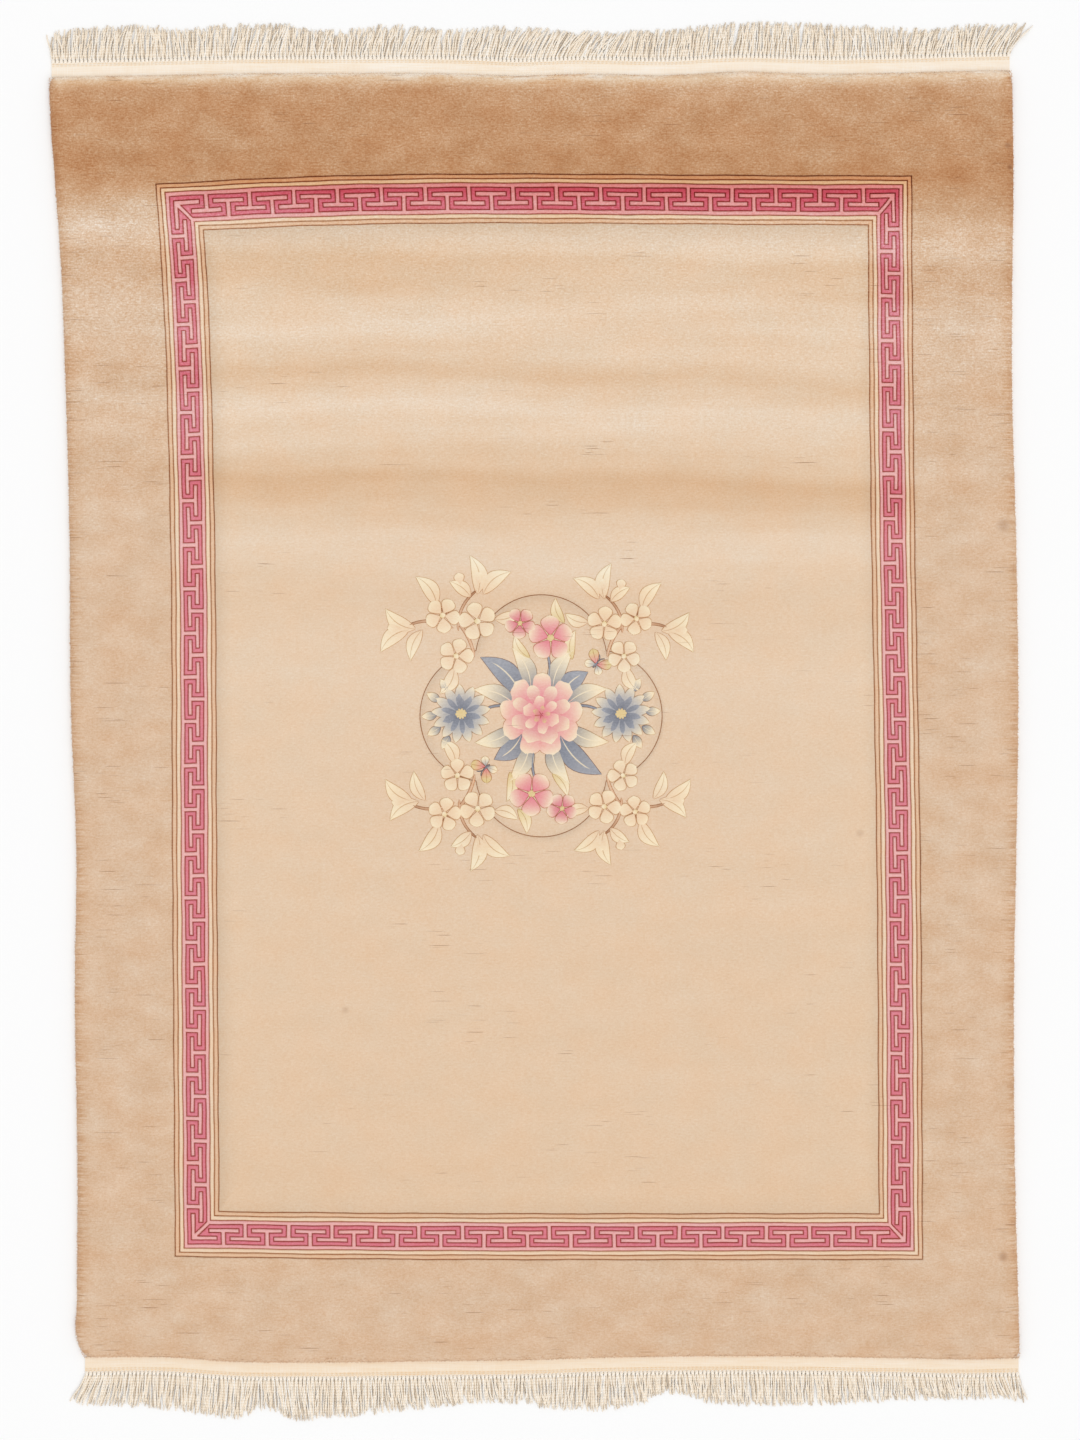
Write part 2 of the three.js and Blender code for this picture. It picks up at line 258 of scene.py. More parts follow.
SIDE_TABLE = with_corners(SIDES, "head", "foot", {
    "head": [("head_left", 1), ("head_left", 0), ("head_right", 0)],
    "foot": [("foot_left", 1), ("foot_left", 0), ("foot_right", 0)],
})
END_TABLE = with_corners(ENDS, "left", "right", {
    "left": [("head_left", 0), ("head_left", 1), ("foot_left", 1)],
    "right": [("head_right", 0), ("head_right", 1), ("foot_right", 1)],
})


def plan_shift():
    """How far the part's frame lies from the weaving plan, from the pile's box in both."""
    low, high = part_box("pile_body")
    plan_x = (SIDE_TABLE[:, 1].min() + SIDE_TABLE[:, 2].max()) / 2 * MM
    plan_y = (END_TABLE[:, 1].max() + END_TABLE[:, 2].min()) / 2 * MM
    return (low[0] + high[0]) / 2 - plan_x, (low[1] + high[1]) / 2 - plan_y


SHIFT_X, SHIFT_Y = plan_shift()


def waver(x, y):
    """Small wander of hand carved lines in metres: two sine waves in each direction, slow along
    a line and quicker from one line to the next."""
    a, b = x / MM, y / MM
    across = 0.45 * np.sin(b / 31 + a / 8.5) + 0.2 * np.sin(b / 9.7 - a / 7)
    along = 0.45 * np.sin(a / 31 + b / 8.5) + 0.2 * np.sin(a / 9.7 - b / 7)
    return x + across * MM, y + along * MM


def lie(x, y):
    """Height of the clipped pile over its even top, in metres: slow waves up to 0.4 mm down."""
    wave = np.sin(x * 9 + 2 * np.sin(y * 4)) * np.sin(y * 13 + np.sin(x * 5))
    return 0.2 * MM * (wave - 1)


LINE_WIDTH = LINE_SIDES[2, 2] - LINE_SIDES[2, 1]
LINE_HEIGHT = LINE_ENDS[1, 1] - LINE_ENDS[1, 2]


def spread_rows(count, before, after, length):
    """Units and the millimetres at which they lie between the two outermost carved lines."""
    guards = GUARDS * GUARD_UNIT
    units = (-GUARDS, 0, FRET_ROWS, count - FRET_ROWS, count, count + GUARDS)
    first, last = guards + FRET_ROWS * before, length - guards - FRET_ROWS * after
    return np.array(units, float), np.array([0, guards, first, last, length - guards, length])


ACROSS = spread_rows(UNITS_ACROSS, ROW["left"], ROW["right"], LINE_WIDTH)
DOWN = spread_rows(UNITS_DOWN, ROW["head"], ROW["foot"], LINE_HEIGHT)


def on_rug(p, q):
    """Lays plan millimetres p, across from the left outermost line, and q, down from the head
    one, on the rug: a blend between the wandering lines of the four sides. Gives metres."""
    across, down = p / LINE_WIDTH, q / LINE_HEIGHT
    left, right = (smooth(LINE_SIDES, down, column) for column in (1, 2))
    head, foot = (smooth(LINE_ENDS, across, column) for column in (1, 2))
    x, y = left + (right - left) * across, head + (foot - head) * down
    x, y = waver(x * MM, y * MM)
    return x + SHIFT_X, y + SHIFT_Y


# Meshes


def make_piece(name, points, faces, dyes=None, extra=None, uv=None, sharp=80):
    """A mesh object from arrays: points, faces, a colour for each point, further values for
    each point by name, and a UV pair for each point. A closed mesh is turned outwards."""
    mesh = bpy.data.meshes.new(name)
    mesh.from_pydata(np.asarray(points).tolist(), [], faces)
    shell = bmesh.new()
    shell.from_mesh(mesh)
    if shell.calc_volume(signed=True) < 0:
        bmesh.ops.reverse_faces(shell, faces=shell.faces)
    shell.to_mesh(mesh)
    shell.free()
    if dyes is not None:
        layer = mesh.color_attributes.new("dye", "FLOAT_COLOR", "POINT")
        full = np.ones((len(points), 4), np.float32)
        full[:, :3] = dyes
        layer.data.foreach_set("color", full.ravel())
    for key, values in (extra or {}).items():
        layer = mesh.attributes.new(key, "FLOAT", "POINT")
        layer.data.foreach_set("value", np.asarray(values, np.float32).ravel())
    if uv is not None:
        corners = np.empty(len(mesh.loops), np.int32)
        mesh.loops.foreach_get("vertex_index", corners)
        layer = mesh.uv_layers.new(name="yarn")
        layer.data.foreach_set("uv", np.asarray(uv, np.float32)[corners].ravel())
    mesh.shade_smooth()
    mesh.set_sharp_from_angle(angle=math.radians(sharp))
    piece = bpy.data.objects.new(name, mesh)
    bpy.context.scene.collection.objects.link(piece)
    return piece


def grid_faces(rows, columns, wrap_rows=False, wrap_columns=False):
    """Quads of a grid whose points are listed row by row, joined round where it wraps."""
    r = np.arange(rows if wrap_rows else rows - 1)[:, None]
    c = np.arange(columns if wrap_columns else columns - 1)[None, :]
    r_next, c_next = (r + 1) % rows, (c + 1) % columns
    quads = np.stack([r * columns + c, r_next * columns + c, r_next * columns + c_next,
                      r * columns + c_next], -1)
    return quads.reshape(-1, 4).tolist()


def caps(rows, columns, turned_over=False):
    """The two faces that close a grid of rings at its first ring and at its last."""
    first, last = list(range(columns)), list(range((rows - 1) * columns, rows * columns))
    return [first, last[::-1]] if turned_over else [first[::-1], last]


def slab(x, y, z, bottom):
    """A closed block under a grid of heights: the grid on top, a wall down from each of its
    edges, and a strip of quads at the bottom from its first column to its last."""
    rows, columns = x.shape
    top = np.stack([x, y, z], -1).reshape(-1, 3)
    floor = [np.stack([x[:, c], y[:, c], np.full(rows, bottom)], -1) for c in (0, -1)]
    points = np.vstack([top, *floor])
    low_first, low_last = rows * columns, rows * columns + rows
    r = np.arange(rows - 1)
    sides = [
        np.stack([r * columns, low_first + r, low_first + r + 1, (r + 1) * columns], -1),
        np.stack([(r + 1) * columns + columns - 1, low_last + r + 1, low_last + r,
                  r * columns + columns - 1], -1),
        np.stack([low_first + r, low_last + r, low_last + r + 1, low_first + r + 1], -1),
    ]
    start = [*range(columns), low_last, low_first]
    end = [*range((rows - 1) * columns, rows * columns), low_last + rows - 1,
           low_first + rows - 1]
    return points, grid_faces(rows, columns) + np.vstack(sides).tolist() + [start[::-1], end]


def joined(parts):
    """Several (points, faces) as one, with each part's faces moved on to its own points."""
    points, faces, first = [], [], 0
    for part_points, part_faces in parts:
        points.append(part_points)
        faces += [[i + first for i in face] for face in part_faces]
        first += len(part_points)
    return np.vstack(points), faces


def loop_normals(x, y):
    """Mitred outward shifts of a closed loop for one metre of offset: the sum of both edges'
    normals over one plus their product."""
    edge = np.stack([np.roll(x, -1) - x, np.roll(y, -1) - y], -1)
    edge /= np.maximum(np.linalg.norm(edge, axis=1, keepdims=True), 1e-9)
    before = np.roll(edge, 1, axis=0)
    normal = np.stack([before[:, 1] + edge[:, 1], -before[:, 0] - edge[:, 0]], -1)
    normal /= 1 + (before * edge).sum(1, keepdims=True)
    outwards = (normal[:, 0] * (x - x.mean()) + normal[:, 1] * (y - y.mean())).sum()
    return normal * np.sign(outwards)


def rim_loop(per_side, inset=0.0):
    """The pile's outline, or a line that many millimetres inside it, as a closed loop of
    metres: each side follows its table, then the whole is averaged with its neighbours until
    the corners are round."""
    share = np.linspace(0, 1, per_side, endpoint=False)
    move = {"left": 1, "right": -1, "head": -1, "foot": 1}
    hl, hr, fl, fr = (np.array(CORNERS[f"{end}_{side}"], float)
                      + inset * np.array((move[side], move[end]))
                      for end in ("head", "foot") for side in ("left", "right"))
    head_x = hl[0] + (hr[0] - hl[0]) * share
    right_y = hr[1] + (fr[1] - hr[1]) * share
    foot_x = fr[0] + (fl[0] - fr[0]) * share
    left_y = fl[1] + (hl[1] - fl[1]) * share
    x = np.concatenate([head_x, smooth(SIDE_TABLE, right_y, 2) - inset, foot_x,
                        smooth(SIDE_TABLE, left_y, 1) + inset])
    y = np.concatenate([smooth(END_TABLE, head_x, 1) - inset, right_y,
                        smooth(END_TABLE, foot_x, 2) + inset, left_y])
    for _ in range(10):
        x = (np.roll(x, 1) + 2 * x + np.roll(x, -1)) / 4
        y = (np.roll(y, 1) + 2 * y + np.roll(y, -1)) / 4
    return x * MM + SHIFT_X, y * MM + SHIFT_Y


def line_loop(unit, per_side):
    """A carved line round the border at a depth in units, as a closed loop of metres with the
    same number of points on each side as the outline."""
    share = np.linspace(0, 1, per_side, endpoint=False)
    p_low, p_high = (np.interp(u, *ACROSS) for u in (unit, UNITS_ACROSS - unit))
    q_low, q_high = (np.interp(u, *DOWN) for u in (unit, UNITS_DOWN - unit))
    p_on, q_on = p_low + (p_high - p_low) * share, q_low + (q_high - q_low) * share
    p = np.concatenate([p_on, np.full(per_side, p_high), p_on[0] + p_high - p_on,
                        np.full(per_side, p_low)])
    q = np.concatenate([np.full(per_side, q_low), q_on, np.full(per_side, q_high),
                        q_on[0] + q_high - q_on])
    return on_rug(p, q)


# Materials


def new_group(name, inputs, outputs):
    """An empty shader node group with named sockets, and its input and output nodes."""
    group = bpy.data.node_groups.new(name, "ShaderNodeTree")
    for key, kind, value in inputs:
        socket = group.interface.new_socket(key, in_out="INPUT", socket_type=kind)
        if value is not None:
            socket.default_value = value
    for key, kind in outputs:
        group.interface.new_socket(key, in_out="OUTPUT", socket_type=kind)
    return group, group.nodes.new("NodeGroupInput"), group.nodes.new("NodeGroupOutput")


def add_node(tree, kind, values, **settings):
    """A new node of a kind with its settings. Each socket named or numbered in the values gets a
    link or a plain value."""
    node = tree.nodes.new(f"ShaderNode{kind}")
    for key, value in settings.items():
        setattr(node, key, value)
    for slot, value in values.items():
        if isinstance(value, bpy.types.NodeSocket):
            tree.links.new(value, node.inputs[slot])
        elif value is not None:
            node.inputs[slot].default_value = value
    return node


def maths(tree, operation, *values):
    """The output of a Math node."""
    return add_node(tree, "Math", dict(enumerate(values)), operation=operation).outputs[0]


def mapped(tree, value, low, high, to_low, to_high):
    """A Map Range node that runs straight between two values and holds at its ends."""
    return add_node(tree, "MapRange", {
        "Value": value, "From Min": low, "From Max": high, "To Min": to_low, "To Max": to_high,
    }).outputs["Result"]


def mixed(tree, fac, first, second, blend="MIX"):
    """The output of a colour Mix node."""
    node = add_node(tree, "Mix", {0: fac, 6: first, 7: second}, data_type="RGBA",
                    blend_type=blend)
    return node.outputs[2]


def powered(tree, colour, power):
    """A colour raised to a power by a Gamma node."""
    return add_node(tree, "Gamma", {"Color": colour, "Gamma": power}).outputs[0]


def axes_of(tree, vector):
    """The outputs X, Y and Z of a vector."""
    return add_node(tree, "SeparateXYZ", {0: vector}).outputs


def read_attribute(tree, name, output):
    """One output of the mesh attribute of that name."""
    return add_node(tree, "Attribute", {}, attribute_name=name).outputs[output]


def bump(tree, shader, height, strength, distance):
    """Feeds the shader's normal from a height."""
    node = add_node(tree, "Bump", {"Strength": strength, "Distance": distance, "Height": height})
    tree.links.new(node.outputs[0], shader.inputs["Normal"])


def noise(tree, place, kind):
    """One of the noises over the rug, stretched by a Mapping node: its value, from 0 to 1."""
    stretch, detail, offset = NOISES[kind]
    mapping = add_node(tree, "Mapping", {"Vector": place, "Location": offset, "Scale": stretch})
    node = add_node(tree, "TexNoise", {"Vector": mapping.outputs[0], "Scale": 1.0,
                                       "Detail": float(detail)})
    return node.outputs["Fac"]


def swayed(tree, base, value, amount):
    """A base value that goes up or down as a noise leaves its middle, times an amount."""
    return maths(tree, "MULTIPLY_ADD", maths(tree, "SUBTRACT", value, 0.5), amount, base)


def nap_shade_ramp(tree, place):
    """How deep the painted shade and sheen of the nap's bands is at a place along the rug. The
    ramp holds half of each depth, because a ramp's colours end at one."""
    head, foot = NAP_SHADE_BANDS[0][0], NAP_SHADE_BANDS[-1][0]
    node = add_node(tree, "ValToRGB", {"Fac": mapped(tree, place, foot, head, 0, 1)})
    node.color_ramp.interpolation = "EASE"
    stops = node.color_ramp.elements
    rows = [((y - foot) / (head - foot), depth / 2) for y, depth in reversed(NAP_SHADE_BANDS)]
    while len(stops) < len(rows):
        stops.new(0.5)
    for stop, (at, half) in zip(stops, rows):
        stop.position = at
        stop.color = (half, half, half, 1)
    return maths(tree, "MULTIPLY", node.outputs["Color"], 2.0)


def nap_group():
    """How the nap lies: Depth is the power to which the yarn's colour goes, above 1 where the
    tufts stand towards the eye and look darker. It paints the nap's shade and sheen in bands
    and streaks, adds random mottle and grain, drops under a painted highlight along the rim and
    rises in combed strokes near the sides. Crack marks the short weft lines that open in the
    pile and a few stains; Grain is the height of the tuft tips; Hue parts redder patches from
    greyer ones."""
    number = "NodeSocketFloat"
    tree, entry, out = new_group("nap", [
        ("Place", "NodeSocketVector", None), ("Painted rim highlight", number, 0.0), ("Side", number, 0.0),
        ("Mottle", number, 0.2), ("Calm", number, 0.0), ("Fine", number, 0.1),
        ("Opened", number, 0.5),
    ], [(key, number) for key in ("Depth", "Crack", "Grain", "Hue")])
    given = entry.outputs
    place = given["Place"]
    axes = axes_of(tree, place)
    slant = maths(tree, "MULTIPLY_ADD", axes["X"], 0.016, axes["Y"])
    # Painted shade and sheen of the nap: bands along the rug, calmer below the upper field, and
    # streaks
    base = nap_shade_ramp(tree, swayed(tree, slant, noise(tree, place, "wander"), 0.09))
    calm = maths(tree, "MULTIPLY", mapped(tree, axes["Y"], 0.62, 0.70, 1, 0), given["Calm"])
    base = maths(tree, "MULTIPLY_ADD", maths(tree, "SUBTRACT", 1.02, base), calm, base)
    upper = mapped(tree, axes["Y"], 0.1, 0.6, 0.14, 0.6)
    depth = swayed(tree, base, noise(tree, place, "streak"), upper)
    strong = maths(tree, "MULTIPLY", given["Mottle"], base)
    depth = swayed(tree, depth, noise(tree, place, "cloud"), strong)
    tips = noise(tree, place, "tips")
    grain = maths(tree, "MULTIPLY_ADD", noise(tree, place, "knot_rows"), 0.5,
                  maths(tree, "MULTIPLY", tips, 0.5))
    rough = maths(tree, "MULTIPLY", mapped(tree, axes["Y"], 0.3, 1.1, 1.0, 2.4), given["Fine"])
    depth = swayed(tree, depth, grain, rough)
    # Painted highlight along the rim: the rim input, made ragged by a noise, lowers the power
    ragged = mapped(tree, noise(tree, place, "ragged"), 0.35, 0.62, 0.5, 1.0)
    light = maths(tree, "MULTIPLY", maths(tree, "MULTIPLY", given["Painted rim highlight"], ragged), 0.62)
    depth = maths(tree, "MULTIPLY", depth, maths(tree, "SUBTRACT", 1.0, light))
    combed = mapped(tree, noise(tree, place, "combed"), 0.4, 0.65, 0.0, 0.5)
    depth = maths(tree, "MULTIPLY_ADD", combed, given["Side"], depth)
    patch = maths(tree, "MULTIPLY_ADD", given["Opened"], 0.2, noise(tree, place, "patch"))
    crack = maths(tree, "MULTIPLY", mapped(tree, noise(tree, place, "dashes"), 0.70, 0.75, 0, 1),
                  mapped(tree, patch, 0.58, 0.66, 0, 1))
    for x, y, radius, strength in STAINS:
        centre = (x * MM + SHIFT_X, y * MM + SHIFT_Y, STAIN_LEVEL)
        away = add_node(tree, "VectorMath", {0: place, 1: centre}, operation="DISTANCE")
        edge = swayed(tree, away.outputs["Value"], tips, 0.006)
        spot = mapped(tree, edge, radius * 0.3 * MM, radius * MM, strength, 0)
        crack = maths(tree, "MAXIMUM", crack, spot)
    hue = mapped(tree, noise(tree, place, "hue"), 0.35, 0.65, 0, 1)
    for key, value in (("Depth", depth), ("Crack", crack), ("Grain", grain), ("Hue", hue)):
        tree.links.new(value, out.inputs[key])
    return tree


def new_material(name, roughness, sheen, sheen_tint):
    """A material with its Principled shader, whose steady values sit on its own sockets."""
    material = bpy.data.materials.new(name)
    material.use_nodes = True
    shader = material.node_tree.nodes["Principled BSDF"]
    for key, value in (("Roughness", roughness), ("Specular IOR Level", 0.15),
                       ("Sheen Weight", sheen), ("Sheen Roughness", 0.6),
                       ("Sheen Tint", (*sheen_tint, 1))):
        shader.inputs[key].default_value = value
    return material, material.node_tree, shader


def pile_material(nap, name, mottle, fine, opened, calm):
    """Clipped wool: the tufts' own dye taken to the nap's depth, which holds the painted shade
    and sheen of the nap and a painted highlight along the rim, darker in opened weft lines.
    """
    material, tree, shader = new_material(name, 0.95, 0.12, dye(255, 244, 228))
    node = add_node(tree, "Group", {}, node_tree=nap)
    for key, value in (("Mottle", mottle), ("Fine", fine), ("Opened", opened), ("Calm", calm)):
        node.inputs[key].default_value = value
    place = add_node(tree, "TexCoord", {}).outputs["Object"]
    for key, value in (("Place", place), ("Painted rim highlight", read_attribute(tree, "rim", "Fac")),
                       ("Side", read_attribute(tree, "side", "Fac"))):
        tree.links.new(value, node.inputs[key])
    # The dye raised to Depth paints the nap's shade and sheen and the rim's highlight
    shown = powered(tree, read_attribute(tree, "dye", "Color"), node.outputs["Depth"])
    tint = mixed(tree, node.outputs["Hue"], (1.012, 0.99, 0.97, 1), (0.99, 1.004, 1.015, 1))
    shown = mixed(tree, 1.0, shown, tint, "MULTIPLY")
    shown = mixed(tree, maths(tree, "MULTIPLY", node.outputs["Crack"], 0.85), shown,
                  (*dye(146, 98, 66), 1))
    tree.links.new(shown, shader.inputs["Base Color"])
    height = maths(tree, "SUBTRACT", node.outputs["Grain"], node.outputs["Crack"])
    bump(tree, shader, height, 0.35, 0.0009)
    return material


def cotton_material(colour):
    """Woven cotton: fine warps that lie closer than the eye parts, in slightly uneven yarn."""
    material, tree, shader = new_material("cotton_weave", 0.9, 0.1, dye(255, 250, 240))
    place = add_node(tree, "TexCoord", {}).outputs["Object"]
    weave = maths(tree, "ADD", maths(tree, "MULTIPLY", noise(tree, place, "warps"), 0.5),
                  maths(tree, "MULTIPLY", noise(tree, place, "wefts"), 0.7))
    aged = mapped(tree, axes_of(tree, place)["Y"], -1.2, 1.2, 0.4, -0.1)
    depth = maths(tree, "ADD", mapped(tree, weave, 0.35, 0.85, 1.6, 0.6),
                  mapped(tree, noise(tree, place, "ageing"), 0.3, 0.75, 0.0, 0.5))
    # The band's attribute darkens the valleys beside the twined row: a painted shade
    depth = maths(tree, "ADD", maths(tree, "ADD", depth, aged),
                  maths(tree, "MULTIPLY", read_attribute(tree, "valley_shade", "Fac"), 1.6))
    tree.links.new(powered(tree, (*colour, 1), depth), shader.inputs["Base Color"])
    bump(tree, shader, weave, 0.5, 0.0006)
    return material


def yarn_material(colour):
    """Plied cotton yarn: slanting plies by the yarn's own UV, each yarn's colour taken to the
    power of its shade attribute. The power stops at LIT_POWER, and a shadow takes over."""
    material, tree, shader = new_material("fringe_yarn", 0.9, 0.1, dye(255, 250, 240))
    axes = axes_of(tree, add_node(tree, "UVMap", {}, uv_map="yarn").outputs[0])
    turns = maths(tree, "MULTIPLY_ADD", axes["Y"], 1 / PLY_TURN,
                  maths(tree, "MULTIPLY", axes["X"], 2.0))
    ply = maths(tree, "SINE", maths(tree, "MULTIPLY", turns, 2 * math.pi))
    # The plies' turns add a painted shade to the power, beside their bump
    shade = maths(tree, "MULTIPLY_ADD", ply, 0.3, read_attribute(tree, "shade", "Fac"))
    lit = powered(tree, (*colour, 1), maths(tree, "MINIMUM", shade, LIT_POWER))
    shown = mixed(tree, mapped(tree, shade, 1.4, 3.2, 0, 0.5), lit, (*dye(150, 126, 98), 1))
    tree.links.new(shown, shader.inputs["Base Color"])
    bump(tree, shader, ply, 0.5, 0.0005)
    return material


def material_of(kind):
    """The rug's material of that kind, made when it is first asked for."""
    dyes = bpy.context.scene.rug_dyes
    names = {"field": "field_pile", "border": "border_pile", "fret": "fret_pile",
             "motif": "motif_pile", "weave": "cotton_weave", "yarn": "fringe_yarn"}
    found = bpy.data.materials.get(names[kind])
    if found:
        return found
    if kind == "weave":
        return cotton_material(tuple(dyes.cotton))
    if kind == "yarn":
        return yarn_material(tuple(dyes.yarn))
    nap = bpy.data.node_groups.get("nap") or nap_group()
    return pile_material(nap, names[kind], *PILES[kind])


def dress(piece, kind, slot, *nodes):
    """Gives a piece its material, its body and the nodes that it stands for, whose parts it
    hides; its record slot is not used.
    """
    piece.data.materials.append(material_of(kind))
    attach(piece, BODY)
    if nodes:
        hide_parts(*nodes)
    return piece


# Pieces of the pile

# The rim of the pile: how far in from the outline, how far below the top, and how strong its
# marks are there: a painted highlight where the rim faces the head, strongest on the sloping
# outer rows, which lie in shade, and darker combed strokes where it faces a side
RIM_PROFILE = np.array([
    (30, 0.0, 0.0), (20, 0.2, 0.3), (14, 0.7, 0.6), (9, 1.7, 0.95), (5, 3.4, 1.15),
    (2.4, 5.6, 1.25), (0.8, 8.2, 1.3), (0.0, 10.8, 1.3), (0.4, 12.6, 1.0),
])
BORDER_STEPS = 400
BORDER_ROWS = 8

# Carved lines across: how far out of the middle in half widths, and the share of the depth
BORDER_LINE = ((0.0, 1.0), (0.26, 1.0), (1.0, 0.0), (2.2, 0.0))
MEDALLION_LINE = ((-0.8, 0.0), (-0.2, 0.7), (0.2, 0.7), (0.8, 0.0))
FIELD_LINE = ((-1.0, 0.0), (-0.26, 1.0), (0.0, 1.0))

FIELD_STEPS = 300
FIELD_RINGS = 16
FOUNDATION_STEPS = 120

# Loose tufts, in millimetres: how many a side, half width, and the lowest that a tip lies
TUFTS = 1900
TUFT_WIDTH = 0.9
TUFT_LOW = 0.6


def build_border(sizes, dyes):
    """The wide outer border as one closed ring. Across it runs a profile: up out of the carved
    line, over the flat pile, down round the rim, and back underneath."""
    line_x, line_y = line_loop(-GUARDS, BORDER_STEPS)
    rim_x, rim_y = rim_loop(BORDER_STEPS)
    line_n, rim_n = loop_normals(line_x, line_y), loop_normals(rim_x, rim_y)
    run = np.arange(len(rim_x))
    ragged = 0.5 * np.sin(run * 0.9) + 0.4 * np.sin(run * 0.37 + 1) + 0.5 * np.sin(run * 2.3)
    to_head = np.clip(rim_n[:, 1], 0, 1)
    half = sizes.groove_width / 2
    top, low = sizes.pile_top, sizes.foundation
    border, carved = np.array(dyes.border), np.array(dyes.line)
    rows = []

    def row(*values):
        rows.append(values)

    # Rows in the carved line take the line dye: a painted shade of the groove
    for out, drop in BORDER_LINE:
        row(line_x + line_n[:, 0] * half * out, line_y + line_n[:, 1] * half * out,
            top - drop * sizes.groove_depth, 0.0, carved if drop else border)
    inner_x, inner_y = line_x + line_n[:, 0] * 0.008, line_y + line_n[:, 1] * 0.008
    outer_x, outer_y = rim_loop(BORDER_STEPS, RIM_PROFILE[0, 0])
    for share in np.linspace(0, 1, BORDER_ROWS, endpoint=False):
        row(inner_x + (outer_x - inner_x) * share, inner_y + (outer_y - inner_y) * share,
            top, 0.0, border)
    for inset, drop, light in RIM_PROFILE:
        rough = ragged * MM * np.clip(drop / 6, 0, 1) * 0.6
        x, y = rim_loop(BORDER_STEPS, inset)
        row(x + rim_n[:, 0] * rough, y + rim_n[:, 1] * rough, top - drop * MM, light, border)
    row(line_x, line_y, low, 0.0, carved)
    x, y, level, light, colour = (np.array(column) for column in zip(*rows))
    level, light = level[:, None], light[:, None]
    z = level + lie(x, y) * np.clip((level - low) / (top - low), 0, 1)
    points = np.stack([x, y, z], -1).reshape(-1, 3)
    faces = grid_faces(*x.shape, wrap_rows=True, wrap_columns=True)
    # Painted highlight where the rim faces the head: a creamier colour here, and the rim attribute
    # that lightens it in the nap
    pale = (light * to_head)[..., None] * np.array((0.04, 0.0, -0.1))
    colour = colour[:, None] * (1 + pale)
    return make_piece("border_pile", points, faces, colour.reshape(-1, 3),
                      {"rim": (light * to_head).ravel(),
                       "side": (light * np.abs(rim_n[:, 0])).ravel()})


def fret_lines(length, kind):
    """Corner points, as along and depth in units, of the fret's outer or inner carved line on
    one side: round Ts that stand on the outer stripe, or on the inner one."""
    if kind == "outer":
        points = [(1, 1)]
        for stem in range(REPEAT, length - REPEAT + 1, REPEAT):
            points += [(stem - 0.5, 1), (stem - 0.5, 4), (stem - 3.5, 4), (stem - 3.5, 5),
                       (stem + 3.5, 5), (stem + 3.5, 4), (stem + 0.5, 4), (stem + 0.5, 1)]
        return points
    points = [(2, 2), (8.5, 2), (8.5, 3), (3.7, 3), (6.7, 6)]
    for stem in range(REPEAT * 3 // 2, length - REPEAT, REPEAT):
        points += [(stem - 0.5, 6), (stem - 0.5, 3), (stem - 3.5, 3), (stem - 3.5, 2),
                   (stem + 3.5, 2), (stem + 3.5, 3), (stem + 0.5, 3), (stem + 0.5, 6)]
    return points + [(length - 6.7, 6), (length - 3.7, 3), (length - 8.5, 3), (length - 8.5, 2)]


def side_place(side, along, depth):
    """Units along a side and into it, as units across and down the rug. The sides run
    clockwise: head, right, foot, left."""
    along, depth = np.asarray(along, float), np.asarray(depth, float)
    return {
        "head": (along, depth),
        "right": (UNITS_ACROSS - depth, along),
        "foot": (UNITS_ACROSS - along, UNITS_DOWN - depth),
        "left": (depth, UNITS_DOWN - along),
    }[side]


SIDE_LENGTH = {"head": UNITS_ACROSS, "right": UNITS_DOWN, "foot": UNITS_ACROSS,
               "left": UNITS_DOWN}


def carved_lines():
    """All carved lines of the border as rows p0, q0, p1, q1 in plan millimetres."""
    loops = [[side_place(side, along, depth) for side, length in SIDE_LENGTH.items()
              for along, depth in fret_lines(length, kind)] for kind in ("outer", "inner")]
    for unit in (-GUARDS, 1 - GUARDS, 0, FRET_ROWS, FRET_ROWS + 1, CORNER_END):
        loops.append([side_place(side, unit, unit) for side in SIDE_LENGTH])
    rows = []
    for loop in loops:
        units = np.array(loop, float)
        plan = np.stack([np.interp(units[:, 0], *ACROSS), np.interp(units[:, 1], *DOWN)], -1)
        rows.append(np.hstack([plan, np.roll(plan, -1, axis=0)]))
    return np.vstack(rows)


def distance_to(lines, p, q):
    """Least distance from each point to straight lines near it: each point is dropped on a
    line at the share along it, held between its ends. Points are taken a block at a time."""
    reach = 4.0
    result = np.full(p.shape, reach)
    for block in np.array_split(np.arange(p.shape[0]), max(1, p.shape[0] // 30)):
        bp, bq = p[block], q[block]
        low = np.array([bp.min(), bq.min()]) - reach
        high = np.array([bp.max(), bq.max()]) + reach
        near = (np.maximum(lines[:, :2], lines[:, 2:]) >= low).all(1)
        near &= (np.minimum(lines[:, :2], lines[:, 2:]) <= high).all(1)
        start = lines[near, :2]
        span = lines[near, 2:] - start
        away = np.stack([bp, bq], -1)[:, :, None, :] - start
        share = np.clip((away * span).sum(-1) / (span ** 2).sum(-1), 0, 1)
        gap = np.linalg.norm(away - share[..., None] * span, axis=-1).min(-1)
        result[block] = np.minimum(gap, reach)
    return result


